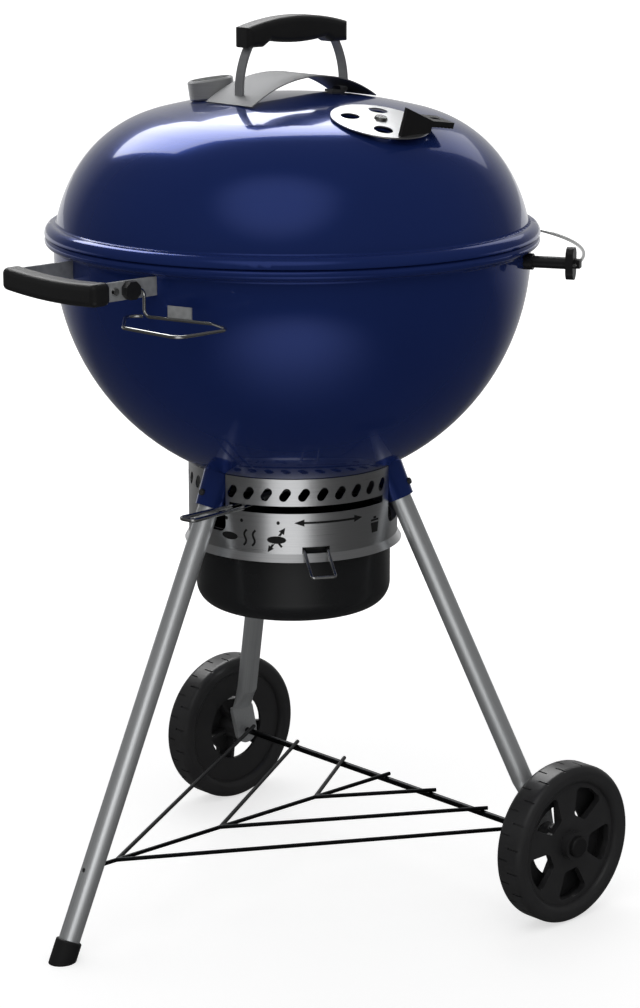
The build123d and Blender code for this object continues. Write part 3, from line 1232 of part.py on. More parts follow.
# Bottom rack: one stem from the foot leg to past the axle, and three pairs of arms that fan out from
# it, all lying on the axle and welded where they meet.
RACK_END_X = AXLE_X + RACK_PAST_AXLE
STEM_START_X = -FOOT_REACH + RACK_Z * tan(LEAN) + TUBE_IN_R - RACK_PAST_AXLE
with BuildPart() as bottom_rack:
    rod((STEM_START_X, 0, RACK_Z), (RACK_END_X, 0, RACK_Z), RACK_WIRE_R)
    for vertex_x, end_y in RACK_ARMS:
        for side in (-1, 1):
            rod((vertex_x, 0, RACK_Z), (RACK_END_X, side * end_y, RACK_Z), RACK_WIRE_R)
        with Locations((vertex_x, 0, RACK_Z)):
            Sphere(RACK_WIRE_R)
save(bottom_rack.part, "bottom_rack")
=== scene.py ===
from math import cos, pi, radians, sin, sqrt

import bmesh
import bpy
from mathutils import Euler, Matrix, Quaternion, Vector


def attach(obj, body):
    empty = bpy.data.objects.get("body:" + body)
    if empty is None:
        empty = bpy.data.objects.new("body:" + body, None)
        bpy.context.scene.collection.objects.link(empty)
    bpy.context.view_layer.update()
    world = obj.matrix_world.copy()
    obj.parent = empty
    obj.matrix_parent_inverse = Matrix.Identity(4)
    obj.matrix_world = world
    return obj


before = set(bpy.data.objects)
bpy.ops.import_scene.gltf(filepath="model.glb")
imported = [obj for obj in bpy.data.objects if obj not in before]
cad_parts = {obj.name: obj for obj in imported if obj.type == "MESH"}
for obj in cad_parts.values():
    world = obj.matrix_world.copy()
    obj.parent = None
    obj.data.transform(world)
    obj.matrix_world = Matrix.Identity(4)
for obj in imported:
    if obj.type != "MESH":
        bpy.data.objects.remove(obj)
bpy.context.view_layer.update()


# Bowl and leg sockets: the lower half of the kettle, pressed from one steel sheet with a bead
# rolled round its rim, and the three tube sockets welded under it before firing.
# The whole pressing is sprayed with glass frit and fired, so one skin of enamel covers it all.
def linear(code):
    """The linear colour of an sRGB hex value, as shader sockets take it."""
    parts = [int(code[at:at + 2], 16) / 255 for at in (0, 2, 4)]
    return [p / 12.92 if p <= 0.04045 else ((p + 0.055) / 1.055) ** 2.4 for p in parts] + [1.0]


def join(tree, node, sockets):
    """Set a node's sockets: a socket given as the value is linked, anything else is set."""
    for name, value in sockets.items():
        if isinstance(value, bpy.types.NodeSocket):
            tree.links.new(value, node.inputs[name])
        else:
            node.inputs[name].default_value = value
    return node


def add(finish, kind, sockets, **settings):
    """Add one node to a finish, with its settings and its sockets."""
    node = finish.node_tree.nodes.new("ShaderNode" + kind)
    for name, value in settings.items():
        setattr(node, name, value)
    return join(finish.node_tree, node, sockets)


def new_finish(name):
    """An empty finish, with only its own shader in it."""
    finish = bpy.data.materials.new(name)
    finish.use_nodes = True
    return finish


def surface(finish, sockets):
    """Set the finish's own shader."""
    return join(finish.node_tree, finish.node_tree.nodes["Principled BSDF"], sockets)


def clad(finish, *names):
    """Give CAD pieces a finish."""
    for name in names:
        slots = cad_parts[name].data.materials
        slots.clear()
        slots.append(finish)


# A Mix node has sockets of every type under the same names; these are its two colours and the
# colour that comes out.
ONE, OTHER, MIXED = 6, 7, 2

# Navy porcelain enamel: a blue ground coat with fine flake in it, so it glows where it faces the
# light and goes dark to the sides, under a clear glass coat that mirrors the room sharply. The
# coat flows level in firing but keeps a faint orange peel, and the blue pools a little unevenly.
# Real peel is about 3 mm across; it is drawn 9 mm across so that it shows.
POOL_MM = 110
ENAMEL_PEEL_MM = 9
enamel = new_finish("navy_porcelain_enamel")
spot = add(enamel, "TexCoord", {}).outputs["Object"]
pooling = add(enamel, "TexNoise", {"Vector": spot, "Scale": 1000 / POOL_MM, "Detail": 2.0})
peel = add(enamel, "TexNoise", {"Vector": spot, "Scale": 1000 / ENAMEL_PEEL_MM, "Detail": 1.0})
blue = add(enamel, "Mix", {
    "Factor": pooling.outputs["Fac"], ONE: linear("24387a"), OTHER: linear("283d82"),
}, data_type="RGBA")
gloss = add(enamel, "MapRange", {"Value": pooling.outputs["Fac"], "To Min": 0.03, "To Max": 0.06})
ripple = add(enamel, "Bump", {"Height": peel.outputs["Fac"], "Strength": 0.012, "Distance": 0.001})
surface(enamel, {
    "Base Color": blue.outputs[MIXED], "Metallic": 0.55, "Roughness": 0.19,
    "Specular IOR Level": 0.0, "Coat Weight": 1.0, "Coat IOR": 1.31,
    "Coat Roughness": gloss.outputs["Result"], "Coat Normal": ripple.outputs["Normal"],
})
clad(enamel, "bowl_shell", "leg_socket_foot", "leg_socket_front", "leg_socket_rear")


# Legs: three straight aluminium tubes that push up into the sockets, where a spring button
# catches each one. The two at the axle are pinched flat at the foot and drilled for it.
# Die lines are about 0.2 mm apart; they are drawn 1.2 mm apart so that they show.
LEG_LEAN = radians(24.554)
DIE_LINE_GAP = 0.0012
DIE_LINE_LENGTH = 0.15


def drawn_aluminium(name, along):
    """Drawn and anodised tube: satin silver, with die lines that run its whole length.

    The anodic film scatters part of the light, so the tube is not all mirror.
    """
    finish = new_finish(name)
    lines_at = add(finish, "Mapping", {
        "Vector": add(finish, "TexCoord", {}).outputs["Object"],
        "Rotation": Vector(along).to_track_quat("Z", "Y").to_euler(),
        "Scale": (DIE_LINE_GAP, DIE_LINE_GAP, DIE_LINE_LENGTH),
    }, vector_type="TEXTURE")
    lines = add(finish, "TexNoise", {
        "Vector": lines_at.outputs["Vector"], "Scale": 1.0, "Detail": 3.0,
    })
    silver = add(finish, "Mix", {
        "Factor": lines.outputs["Fac"], ONE: linear("cdd0d2"), OTHER: linear("eceeef"),
    }, data_type="RGBA")
    satin = add(finish, "MapRange", {
        "Value": lines.outputs["Fac"], "To Min": 0.32, "To Max": 0.44,
    })
    die = add(finish, "Bump", {
        "Height": lines.outputs["Fac"], "Strength": 0.08, "Distance": 0.0003,
    })
    surface(finish, {
        "Base Color": silver.outputs[MIXED], "Metallic": 0.8,
        "Roughness": satin.outputs["Result"], "Normal": die.outputs["Normal"],
    })
    return finish


for leg, azimuth in (("foot", 180.0), ("front", -60.0), ("rear", 60.0)):
    turned = radians(azimuth)
    up_the_leg = (-sin(LEG_LEAN) * cos(turned), -sin(LEG_LEAN) * sin(turned), cos(LEG_LEAN))
    clad(drawn_aluminium("drawn_aluminium_" + leg, up_the_leg), "leg_" + leg)


# Foot cap, hub caps, grips, lid-holder posts, damper tab and ring clamp: moulded in glass-filled
# nylon, black right through. The caps are pushed on, the rest are screwed or riveted in place.
CLOUD_MM = 30


def moulded(name, dark, pale, rough, grain_mm, depth):
    """A moulding: the tool's fine grain breaks up the gloss, and the colour clouds a little.

    The grain is a few tenths of a millimetre; `grain_mm` draws it coarser so that it shows.
    """
    finish = new_finish(name)
    spot = add(finish, "TexCoord", {}).outputs["Object"]
    cloud = add(finish, "TexNoise", {"Vector": spot, "Scale": 1000 / CLOUD_MM, "Detail": 3.0})
    grain = add(finish, "TexVoronoi", {"Vector": spot, "Scale": 1000 / grain_mm})
    colour = add(finish, "Mix", {
        "Factor": cloud.outputs["Fac"], ONE: linear(dark), OTHER: linear(pale),
    }, data_type="RGBA")
    sheen = add(finish, "MapRange", {
        "Value": cloud.outputs["Fac"], "To Min": rough - 0.05, "To Max": rough + 0.06,
    })
    pits = add(finish, "Bump", {
        "Height": grain.outputs["Distance"], "Strength": depth, "Distance": 0.0004,
    })
    surface(finish, {
        "Base Color": colour.outputs[MIXED], "Roughness": sheen.outputs["Result"], "IOR": 1.53,
        "Normal": pits.outputs["Normal"],
    })
    return finish


# Glass-filled nylon comes out of the mould satin, and its edges catch a thin soft light.
nylon = moulded("black_glass_filled_nylon", "151516", "1f1f20", rough=0.42, grain_mm=0.9, depth=0.12)
clad(nylon, "foot_cap", "side_handle_grip", "lid_handle_grip", "lid_holder_post_front",
     "lid_holder_post_rear", "damper_tab", "hub_cap_front", "hub_cap_rear", "ring_clamp")


# Lock buttons: small acetal plugs, sprung from inside each tube out through its socket.
# Acetal is slick and takes a small sharp shine, a little greyer than the nylon.
acetal = moulded("grey_acetal", "2c2d30", "3a3b3e", rough=0.25, grain_mm=1.5, depth=0.04)
clad(acetal, "leg_button_foot", "leg_button_front", "leg_button_rear")


# Wheels: blow-moulded polypropylene, tread and spokes in one, turning on the ends of the axle.
# The mould's skin is waxy, with a broad soft shine on the tread.
polypropylene = moulded("black_polypropylene", "29292a", "363637", rough=0.32, grain_mm=1.6, depth=0.10)
clad(polypropylene, "wheel_front", "wheel_rear")


# Axle and bottom rack: steel bar, the rack's wires resistance-welded where they cross.
# Both are black-zinc plated, which stays dark and shows grey only where the light grazes.
MOTTLE_MM = 12
black_zinc = new_finish("black_zinc_plate")
spot = add(black_zinc, "TexCoord", {}).outputs["Object"]
mottle = add(black_zinc, "TexNoise", {"Vector": spot, "Scale": 1000 / MOTTLE_MM, "Detail": 4.0})
smoke = add(black_zinc, "Mix", {
    "Factor": mottle.outputs["Fac"], ONE: linear("1b1b1c"), OTHER: linear("37383a"),
}, data_type="RGBA")
bloom = add(black_zinc, "MapRange", {"Value": mottle.outputs["Fac"], "To Min": 0.22, "To Max": 0.4})
surface(black_zinc, {
    "Base Color": smoke.outputs[MIXED], "Metallic": 1.0, "Roughness": bloom.outputs["Result"],
})
clad(black_zinc, "axle", "bottom_rack")


# Ash collar: a ring rolled from aluminium strip, punched for draught holes, the lever's slot and
# the bucket's catch, and riveted under the bowl. It is brushed round, so its shine runs upright.
SCRATCH_LENGTH = 0.12


def brushed(name, dark, pale, rough, across, coarse_mm, metallic=1.0):
    """Brushed sheet: scratches run at right angles to `across`, the direction they vary along.

    Real scratches are about 0.1 mm apart; `coarse_mm` draws them further apart so that they show.
    """
    finish = new_finish(name)
    scratch_at = add(finish, "Mapping", {
        "Vector": add(finish, "TexCoord", {}).outputs["Object"],
        "Scale": [SCRATCH_LENGTH if part == 0 else coarse_mm / 1000 for part in across],
    }, vector_type="TEXTURE")
    scratch = add(finish, "TexNoise", {
        "Vector": scratch_at.outputs["Vector"], "Scale": 1.0, "Detail": 4.0,
    })
    metal = add(finish, "Mix", {
        "Factor": scratch.outputs["Fac"], ONE: linear(dark), OTHER: linear(pale),
    }, data_type="RGBA")
    satin = add(finish, "MapRange", {
        "Value": scratch.outputs["Fac"], "To Min": rough - 0.07, "To Max": rough + 0.08,
    })
    cut = add(finish, "Bump", {
        "Height": scratch.outputs["Fac"], "Strength": 0.08, "Distance": 0.0002,
    })
    surface(finish, {
        "Base Color": metal.outputs[MIXED], "Metallic": metallic,
        "Roughness": satin.outputs["Result"], "Normal": cut.outputs["Normal"],
    })
    return finish


brushed_aluminium = brushed("brushed_aluminium_strip", "cfd0d2", "ebeced", rough=0.30,
                            across=(0, 0, 1), coarse_mm=0.9)
clad(brushed_aluminium, "ash_collar")


# Signs on the collar: screen-printed to show which way the lever opens the vents, as plain
# pictures: open and shut ovals, smoke wisps, arrows and a bin. The ink dries flat and black.
# They lie a tenth of a millimetre off the collar's face, and are set out on it in millimetres.
KETTLE_X = 0.01877054
PRINT_R = 0.1261
CATCH_AZIMUTH = 240.0
DOT_ROW = 495.6
OVAL_ROW = 475.0
ARROW_ROW = 495.7
DOT = 4.4
OVAL = (23.0, 9.0)
LINE = 2.6
BARB = 7.5
BIN_STRIPS = 7
BIN_LEFT, BIN_WIDE, BIN_FLARE = 77.0, 11.0, 1.6
BIN_FOOT, BIN_RIM = 473.5, 485.5
ink = moulded("black_screen_ink", "0c0c0d", "161617", rough=0.5, grain_mm=1.2, depth=0.05)
signs = bmesh.new()


def on_collar(along, height):
    """A point on the collar's face: how far round it from the catch, and how high."""
    turned = radians(CATCH_AZIMUTH) + along / 1000 / PRINT_R
    return signs.verts.new((KETTLE_X + PRINT_R * cos(turned), PRINT_R * sin(turned), height / 1000))


def printed(start, end, middle, half):
    """Print a shape in upright strips, because the face is round: half its height at each place."""
    steps = max(4, round(end - start))
    rows = []
    for step in range(steps + 1):
        along = start + (end - start) * step / steps
        tall = half((along - start) / (end - start))
        rows.append((on_collar(along, middle - tall), on_collar(along, middle + tall)))
    for (low, high), (next_low, next_high) in zip(rows, rows[1:]):
        signs.faces.new((low, next_low, next_high, high))


def oval(along, height, wide, tall):
    """Print a filled oval round a point on the collar."""
    printed(along - wide / 2, along + wide / 2, height,
            lambda t: tall / 2 * sqrt(max(0.0, 1 - (2 * t - 1) ** 2)) + 0.02)


def stroke(points):
    """Print a line of even width through points on the collar."""
    rails = []
    for place, (along, height) in enumerate(points):
        before = points[max(0, place - 1)]
        after = points[min(len(points) - 1, place + 1)]
        run = Vector((after[0] - before[0], after[1] - before[1])).normalized()
        rails.append((
            on_collar(along - run.y * LINE / 2, height + run.x * LINE / 2),
            on_collar(along + run.y * LINE / 2, height - run.x * LINE / 2),
        ))
    for (left, right), (next_left, next_right) in zip(rails, rails[1:]):
        signs.faces.new((left, right, next_right, next_left))


def head(tip, back):
    """Print an arrowhead from its tip to the middle of its back."""
    run = Vector((tip[0] - back[0], tip[1] - back[1])).normalized() * BARB / 2
    signs.faces.new((
        on_collar(*tip),
        on_collar(back[0] - run.y, back[1] + run.x),
        on_collar(back[0] + run.y, back[1] - run.x),
    ))


# Dots over the lever's places, an oval for the shut vent, wisps for smoke, and an oval with an
# arrow through it for the open vent.
for along in (-111.5, -90.2, -44.8):
    oval(along, DOT_ROW, DOT, DOT)
for along in (-107.0, -46.8):
    oval(along, OVAL_ROW, *OVAL)
for shift in (0.0, 11.0):
    stroke([(-85.5 + shift + 2.2 * sin(pi * t / 6) - 0.35 * (6 - t), 466.0 + 1.6 * t)
            for t in range(13)])
stroke([(-53.0, 466.5), (-41.0, 483.5)])
head((-36.5, 490.0), (-41.0, 483.5))
stroke([(-40.5, 466.5), (-44.0, 471.0)])
head((-57.5, 460.0), (-53.0, 466.5))

# The long two-headed arrow, and then the bin: its lid, the lid's knob and its flared side.
printed(-26.0, -14.0, ARROW_ROW, lambda t: 4.2 * t + 0.05)
printed(-14.0, 49.0, ARROW_ROW, lambda t: 1.3)
printed(49.0, 61.0, ARROW_ROW, lambda t: 4.2 * (1 - t) + 0.05)
printed(75.5, 89.5, 488.5, lambda t: 1.2)
printed(80.0, 85.0, 491.5, lambda t: 1.4)
for strip in range(BIN_STRIPS):
    left = BIN_LEFT + BIN_WIDE * strip / BIN_STRIPS
    right = left + BIN_WIDE / BIN_STRIPS
    lean = [BIN_FLARE * (place / BIN_STRIPS * 2 - 1) for place in (strip, strip + 1)]
    signs.faces.new((
        on_collar(left - 0.2 * lean[0], BIN_FOOT), on_collar(right - 0.2 * lean[1], BIN_FOOT),
        on_collar(right + lean[1], BIN_RIM), on_collar(left + lean[0], BIN_RIM),
    ))
sign_mesh = bpy.data.meshes.new("collar_signs")
bmesh.ops.recalc_face_normals(signs, faces=signs.faces)
signs.to_mesh(sign_mesh)
sign_mesh.materials.append(ink)
collar_signs = bpy.data.objects.new("collar_signs", sign_mesh)
bpy.context.collection.objects.link(collar_signs)
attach(collar_signs, "kettle")


# Ash bucket: drawn from steel sheet with a wide round corner, and powder coated in a dark
# graphite gloss. It hangs on the wire catch, and lifts out to be emptied.
FLOW_MM = 50
POWDER_PEEL_MM = 3
graphite = new_finish("graphite_powder_coat")
spot = add(graphite, "TexCoord", {}).outputs["Object"]
flow = add(graphite, "TexNoise", {"Vector": spot, "Scale": 1000 / FLOW_MM, "Detail": 2.0})
peel = add(graphite, "TexNoise", {"Vector": spot, "Scale": 1000 / POWDER_PEEL_MM, "Detail": 2.0})
dark = add(graphite, "Mix", {
    "Factor": flow.outputs["Fac"], ONE: linear("1a1b1c"), OTHER: linear("242527"),
}, data_type="RGBA")
gloss = add(graphite, "MapRange", {"Value": flow.outputs["Fac"], "To Min": 0.2, "To Max": 0.28})
skin = add(graphite, "Bump", {"Height": peel.outputs["Fac"], "Strength": 0.05, "Distance": 0.0005})
surface(graphite, {
    "Base Color": dark.outputs[MIXED], "Roughness": gloss.outputs["Result"], "IOR": 1.5,
    "Normal": skin.outputs["Normal"],
})
clad(graphite, "ash_bucket")


# Wirework: the bucket's catch, the lever's pull, the tool ring and the lid-holder hoop, all bent
# from steel wire and bright nickel plated, so they mirror the room in thin lines.
# The screws, bolts and rivet have the same plate.
HAZE_MM = 6
nickel = new_finish("bright_nickel_plate")
spot = add(nickel, "TexCoord", {}).outputs["Object"]
haze = add(nickel, "TexNoise", {"Vector": spot, "Scale": 1000 / HAZE_MM, "Detail": 3.0})
bright = add(nickel, "Mix", {
    "Factor": haze.outputs["Fac"], ONE: linear("b3b4b4"), OTHER: linear("d3d4d3"),
}, data_type="RGBA")
polish = add(nickel, "MapRange", {"Value": haze.outputs["Fac"], "To Min": 0.12, "To Max": 0.22})
surface(nickel, {
    "Base Color": bright.outputs[MIXED], "Metallic": 1.0, "Roughness": polish.outputs["Result"],
})
clad(nickel, "release_bail", "sweeper_pull", "accessory_ring",
     "lid_holder_hoop", "side_handle_screws", "lid_handle_bolts", "damper_rivet")


# Vent sweeper: three blades that turn on a shaft through the bowl and cover its vents, with the
# lever under it. They are cut from aluminised steel, as are the grate brackets, the side handle's
# arms and the ring's plate. The coat is a dull grey, broken up by spangle.
SPANGLE_MM = 7
aluminised = new_finish("aluminised_steel")
spot = add(aluminised, "TexCoord", {}).outputs["Object"]
spangle = add(aluminised, "TexVoronoi", {"Vector": spot, "Scale": 1000 / SPANGLE_MM})
grey = add(aluminised, "Mix", {
    "Factor": spangle.outputs["Distance"], ONE: linear("9c9ea0"), OTHER: linear("b9bbbc"),
}, data_type="RGBA")
dull = add(aluminised, "MapRange", {
    "Value": spangle.outputs["Distance"], "To Min": 0.34, "To Max": 0.5,
})
surface(aluminised, {
    "Base Color": grey.outputs[MIXED], "Metallic": 0.5, "Roughness": dull.outputs["Result"],
})
clad(aluminised, "sweeper_blades", "sweeper_lever", "sweeper_shaft", "charcoal_grate_brackets",
     "cooking_grate_brackets", "side_handle_arm_front", "side_handle_arm_rear", "ring_plate")


# Grates: straight steel rods welded across a ring, the cooking grate with a lifting flap on each
# side. The plating has begun to straw from heat, in warm clouds along the rods.
HEAT_CLOUD_MM = 90
grate_plate = new_finish("heat_tinted_plate")
spot = add(grate_plate, "TexCoord", {}).outputs["Object"]
heat = add(grate_plate, "TexNoise", {"Vector": spot, "Scale": 1000 / HEAT_CLOUD_MM, "Detail": 3.0})
straw = add(grate_plate, "Mix", {
    "Factor": heat.outputs["Fac"], ONE: linear("b8b8b6"), OTHER: linear("bfae90"),
}, data_type="RGBA")
worn = add(grate_plate, "MapRange", {"Value": heat.outputs["Fac"], "To Min": 0.2, "To Max": 0.38})
surface(grate_plate, {
    "Base Color": straw.outputs[MIXED], "Metallic": 1.0, "Roughness": worn.outputs["Result"],
})
clad(grate_plate, "cooking_grate_frame", "cooking_grate_flap_left", "cooking_grate_flap_right",
     "charcoal_grate")


# Lid: pressed from one sheet with a turned-in hem, and enamelled like the bowl.
# It lifts straight off the bowl's bead by its handle.
clad(enamel, "lid_shell")


# Lid handle: two flat aluminium straps bolted to the crown hold the nylon grip, and a curved
# shield between them keeps the rising heat off the hand. They are blasted and then brushed,
# which scatters part of the light and leaves them grey even where they mirror the dark lid.
strap_metal = brushed("satin_aluminium_strap", "939496", "adaeb0", rough=0.40,
                      across=(1, 0, 0), coarse_mm=0.8, metallic=0.55)
clad(strap_metal, "lid_handle_strap_left", "lid_handle_strap_right")
shield_metal = brushed("satin_aluminium_shield", "737476", "88898b", rough=0.52,
                       across=(0, 1, 0), coarse_mm=0.8, metallic=0.35)
clad(shield_metal, "heat_shield")


# Thermometer: a stainless case with a glass front, held through the lid by a nut on its probe.
# The dial is a disc painted flat white, and the hand over it is painted red.
# Turning leaves fine rings on the case that haze its shine to a pale grey.
stainless = brushed("turned_stainless", "b0b1b2", "cfd0d1", rough=0.30,
                    across=(0, 0, 1), coarse_mm=0.7, metallic=0.6)
clad(stainless, "thermometer_case", "thermometer_probe", "thermometer_nut")
white_paint = moulded("white_dial_paint", "e2e2de", "ecece8", rough=0.45, grain_mm=1.0, depth=0.02)
clad(white_paint, "thermometer_dial")
red_paint = moulded("red_hand_paint", "a3151a", "b81d22", rough=0.4, grain_mm=1.0, depth=0.02)
clad(red_paint, "thermometer_needle")

# The glass is flat and clear, with a faint smear from wiping.
SMEAR_MM = 20
glass = new_finish("clear_dial_glass")
spot = add(glass, "TexCoord", {}).outputs["Object"]
smear = add(glass, "TexNoise", {"Vector": spot, "Scale": 1000 / SMEAR_MM, "Detail": 2.0})
wiped = add(glass, "MapRange", {"Value": smear.outputs["Fac"], "To Min": 0.01, "To Max": 0.06})
surface(glass, {
    "Base Color": linear("f6f9f8"), "Roughness": wiped.outputs["Result"], "IOR": 1.5,
    "Transmission Weight": 1.0,
})
clad(glass, "thermometer_lens")


# Dial scale: strokes printed on the dial in the collar's black ink, with no figures.
# They stand round its edge every ten degrees, and every fifth one is longer and broader.
DIAL_CENTRE = Vector((-0.04318, 0.07002, 0.97522))
DIAL_FACE = Vector((-0.092765, 0.104852, 0.990152))
DIAL_SIDE = Vector((0.66262, -0.74896, 0.0))
DIAL_HEIGHT = 0.01475
SCALE_START, SCALE_STEP, SCALE_MARKS = -125.0, 10.0, 26
STROKE_OUTER = 21.5
dial_top = (DIAL_SIDE.cross(DIAL_FACE).cross(DIAL_FACE) * -1).normalized()
scale = bmesh.new()


def on_dial(turned, radius):
    """A point on the dial: degrees clockwise from its top, and millimetres from its middle."""
    out = Quaternion(DIAL_FACE, -radians(turned)) @ dial_top
    return scale.verts.new(DIAL_CENTRE + DIAL_FACE * DIAL_HEIGHT + out * radius / 1000)


for mark in range(SCALE_MARKS):
    at = SCALE_START + SCALE_STEP * mark
    inner, wide = (17.0, 1.6) if mark % 5 == 0 else (19.0, 0.9)
    scale.faces.new((
        on_dial(at - wide, inner), on_dial(at - wide, STROKE_OUTER),
        on_dial(at + wide, STROKE_OUTER), on_dial(at + wide, inner),
    ))
scale_mesh = bpy.data.meshes.new("dial_scale")
bmesh.ops.recalc_face_normals(scale, faces=scale.faces)
scale.to_mesh(scale_mesh)
scale_mesh.materials.append(ink)
dial_scale = bpy.data.objects.new("dial_scale", scale_mesh)
bpy.context.collection.objects.link(dial_scale)
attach(dial_scale, "lid")


# Damper: a dished aluminium disc on a rivet that turns to open three round vents in the lid.
# It is left bright from the press, so it takes the light of the whole room.
damper_metal = brushed("bright_pressed_aluminium", "dcdddf", "eeeff0", rough=0.33,
                       across=(1, 0, 0), coarse_mm=1.0)
clad(damper_metal, "damper_disc")


# Floor: a plain pale studio floor. Under the grill it is lit by the lamps and keeps the shadow, with
# a faint glow of its own for the camera, and further out it goes over into the white backdrop.
# In the enamel it is painted dark, with a painted glow in front that stands for a soft patch of lamp
# light and a painted gleam far behind, both emitted by the floor to glossy rays only.
FLOOR_REACH = 40.0
PAINTED_GLOW_SPOT = (-0.88, -1.0, 0.0)
TO_THE_BACK = (0.68, 0.73, 0.0)
# These are the Mix node's two numbers and the number that comes out.
OFF, ON, LEVEL = 2, 3, 0
floor_mesh = bpy.data.meshes.new("floor")
paper = bmesh.new()
bmesh.ops.create_grid(paper, x_segments=8, y_segments=8, size=FLOOR_REACH)
paper.to_mesh(floor_mesh)
floor = bpy.data.objects.new("floor", floor_mesh)
bpy.context.collection.objects.link(floor)
floor_paint = new_finish("pale_floor")
rays = add(floor_paint, "LightPath", {})
spot = add(floor_paint, "TexCoord", {}).outputs["Object"]
away = add(floor_paint, "VectorMath", {0: spot}, operation="LENGTH")
fade = add(floor_paint, "MapRange", {
    "Value": away.outputs["Value"], "From Min": 0.5, "From Max": 1.8, "To Min": 0.63, "To Max": 1.0,
}, interpolation_type="SMOOTHSTEP")
# Painted light: a soft glow round a spot in front of the grill and a gleam that rises far behind, which
# the floor emits only to glossy rays, so the enamel mirrors them.
patch = add(floor_paint, "VectorMath", {0: spot, 1: PAINTED_GLOW_SPOT}, operation="DISTANCE")
painted_bounce_glow = add(floor_paint, "MapRange", {
    "Value": patch.outputs["Value"], "From Min": 0.0, "From Max": 1.15, "To Min": 0.54, "To Max": 0.0,
}, interpolation_type="SMOOTHERSTEP")
beyond = add(floor_paint, "VectorMath", {0: spot, 1: TO_THE_BACK}, operation="DOT_PRODUCT")
painted_far_gleam = add(floor_paint, "MapRange", {
    "Value": beyond.outputs["Value"], "From Min": 1.0, "From Max": 6.0, "To Min": 0.03, "To Max": 0.8,
})
painted_gleams = add(floor_paint, "Math", {
    0: painted_bounce_glow.outputs["Result"], 1: painted_far_gleam.outputs["Result"],
}, operation="ADD")
painted_gleams_in_gloss = add(floor_paint, "Math", {
    0: rays.outputs["Is Glossy Ray"], 1: painted_gleams.outputs["Value"],
}, operation="MULTIPLY")
glow = add(floor_paint, "Mix", {
    "Factor": rays.outputs["Is Camera Ray"],
    OFF: painted_gleams_in_gloss.outputs["Value"], ON: fade.outputs["Result"],
})
# Painted shade: to glossy rays the floor's colour is switched to a dark grey, so the enamel mirrors it
# dark.
floor_white_painted_dark_in_gloss = add(floor_paint, "Mix", {
    "Factor": rays.outputs["Is Glossy Ray"], ONE: linear("cfcfcf"), OTHER: linear("2a2a2a"),
}, data_type="RGBA")
surface(floor_paint, {
    "Base Color": floor_white_painted_dark_in_gloss.outputs[MIXED], "Roughness": 0.6, "Specular IOR Level": 0.1,
    "Emission Color": linear("ffffff"), "Emission Strength": glow.outputs[LEVEL],
})
floor_mesh.materials.append(floor_paint)


# Studio: a pale backdrop behind the grill, a dim room in front of it and one soft window high on
# the left, so that the enamel stays deep where it faces the camera, glows in its middle and goes
# grey at its edges. To the camera and through the glass the room is plain white.
FRONT_WINDOW = (-0.5026, -0.3788, 0.7771)
room = bpy.data.worlds.new("studio")
room.use_nodes = True
bpy.context.scene.world = room
rays = add(room, "LightPath", {})
looking = add(room, "TexCoord", {}).outputs["Generated"]
behind = add(room, "VectorMath", {0: looking, 1: TO_THE_BACK}, operation="DOT_PRODUCT")
mirrored = add(room, "MapRange", {
    "Value": behind.outputs["Value"], "From Min": 0.6, "From Max": 1.0, "To Min": 0.10, "To Max": 0.50,
})
window = add(room, "VectorMath", {0: looking, 1: FRONT_WINDOW}, operation="DOT_PRODUCT")
soft_window = add(room, "MapRange", {
    "Value": window.outputs["Value"], "From Min": 0.84, "From Max": 1.0, "To Min": 0.0, "To Max": 0.46,
}, interpolation_type="SMOOTHERSTEP")
mirror_all = add(room, "Math", {
    0: mirrored.outputs["Result"], 1: soft_window.outputs["Result"],
}, operation="ADD")
lit = add(room, "Mix", {
    "Factor": rays.outputs["Is Glossy Ray"], OFF: 0.5, ON: mirror_all.outputs["Value"],
})
seen = add(room, "Math", {
    0: rays.outputs["Is Camera Ray"], 1: rays.outputs["Is Transmission Ray"],
}, operation="MAXIMUM")
level = add(room, "Mix", {"Factor": seen.outputs["Value"], OFF: lit.outputs[LEVEL], ON: 1.0})
join(room.node_tree, room.node_tree.nodes["Background"], {
    "Color": linear("ffffff"), "Strength": level.outputs[LEVEL],
})


# Lamps: soft panels round the grill. The back panel is the bright band that the lid mirrors, the
# overhead and front panels only light what is dull, and the right panel gives the lid's far side.
KETTLE_MIDDLE = Vector((KETTLE_X, 0.0, 0.85))


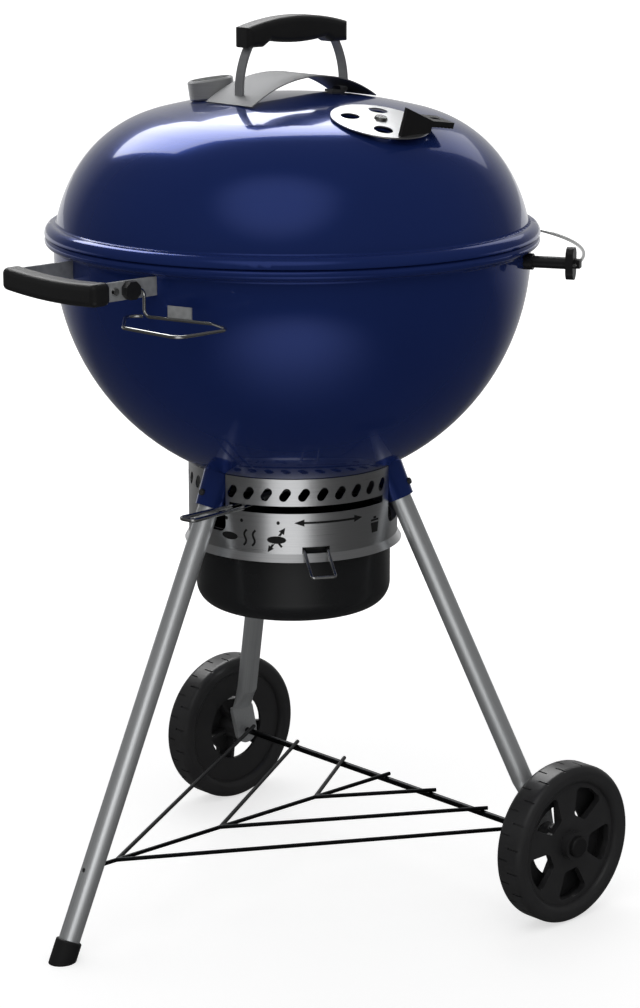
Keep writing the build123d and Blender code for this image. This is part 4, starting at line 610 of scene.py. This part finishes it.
def softbox(name, azimuth, elevation, away, wide, tall, brightness):
    """A soft panel that faces the kettle, placed round it by angles, as bright as white times this."""
    out = Vector((cos(radians(elevation)) * cos(radians(azimuth)),
                  cos(radians(elevation)) * sin(radians(azimuth)), sin(radians(elevation))))
    panel = bpy.data.lights.new(name, "AREA")
    panel.shape = "RECTANGLE"
    panel.size = wide
    panel.size_y = tall
    panel.energy = brightness * pi * wide * tall
    lamp = bpy.data.objects.new(name, panel)
    lamp.location = KETTLE_MIDDLE + out * away
    lamp.rotation_euler = out.to_track_quat("Z", "Y").to_euler()
    bpy.context.collection.objects.link(lamp)
    return lamp


back_panel = softbox("back_panel", azimuth=66.0, elevation=43.5, away=3.2,
                     wide=2.6, tall=1.75, brightness=4.6)
back_panel.visible_diffuse = False
overhead_panel = softbox("overhead_panel", azimuth=60.0, elevation=62.0, away=3.2,
                         wide=2.2, tall=1.4, brightness=1.6)
overhead_panel.visible_glossy = False
softbox("right_panel", azimuth=14.0, elevation=32.0, away=3.2, wide=1.1, tall=1.4, brightness=0.7)
front_panel = softbox("front_panel", azimuth=-143.0, elevation=51.0, away=3.6,
                      wide=2.4, tall=2.0, brightness=1.4)
front_panel.visible_glossy = False

# Two cards, one by the camera and one by the floor, are flagged off the enamel: they only light
# the bare metal.
bare_metal = bpy.data.collections.new("bare_metal")
for name in ("leg_foot", "leg_front", "leg_rear", "ash_collar", "release_bail", "sweeper_pull",
             "accessory_ring", "ring_plate", "side_handle_arm_front", "side_handle_screws"):
    bare_metal.objects.link(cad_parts[name])
camera_card = softbox("camera_card", azimuth=-136.0, elevation=8.0, away=3.4,
                      wide=1.8, tall=1.4, brightness=0.9)
floor_card = softbox("floor_card", azimuth=-138.0, elevation=-24.0, away=1.3,
                     wide=0.9, tall=0.5, brightness=0.7)
for card in (camera_card, floor_card):
    card.light_linking.receiver_collection = bare_metal
    card.visible_camera = False


# Camera: the photograph's own view, from a little above the rim, turned a hair to the left so that
# the side handle's end stays in the picture.
lens = bpy.data.cameras.new("camera")
lens.lens = 102.2
lens.sensor_width = 36.0
camera = bpy.data.objects.new("camera", lens)
camera.location = (-2.24143, -2.4811, 1.3246)
camera.rotation_euler = Euler((radians(75.993), 0.0, radians(-42.886)))
bpy.context.collection.objects.link(camera)
bpy.context.scene.camera = camera
bpy.context.scene.view_settings.view_transform = "Standard"
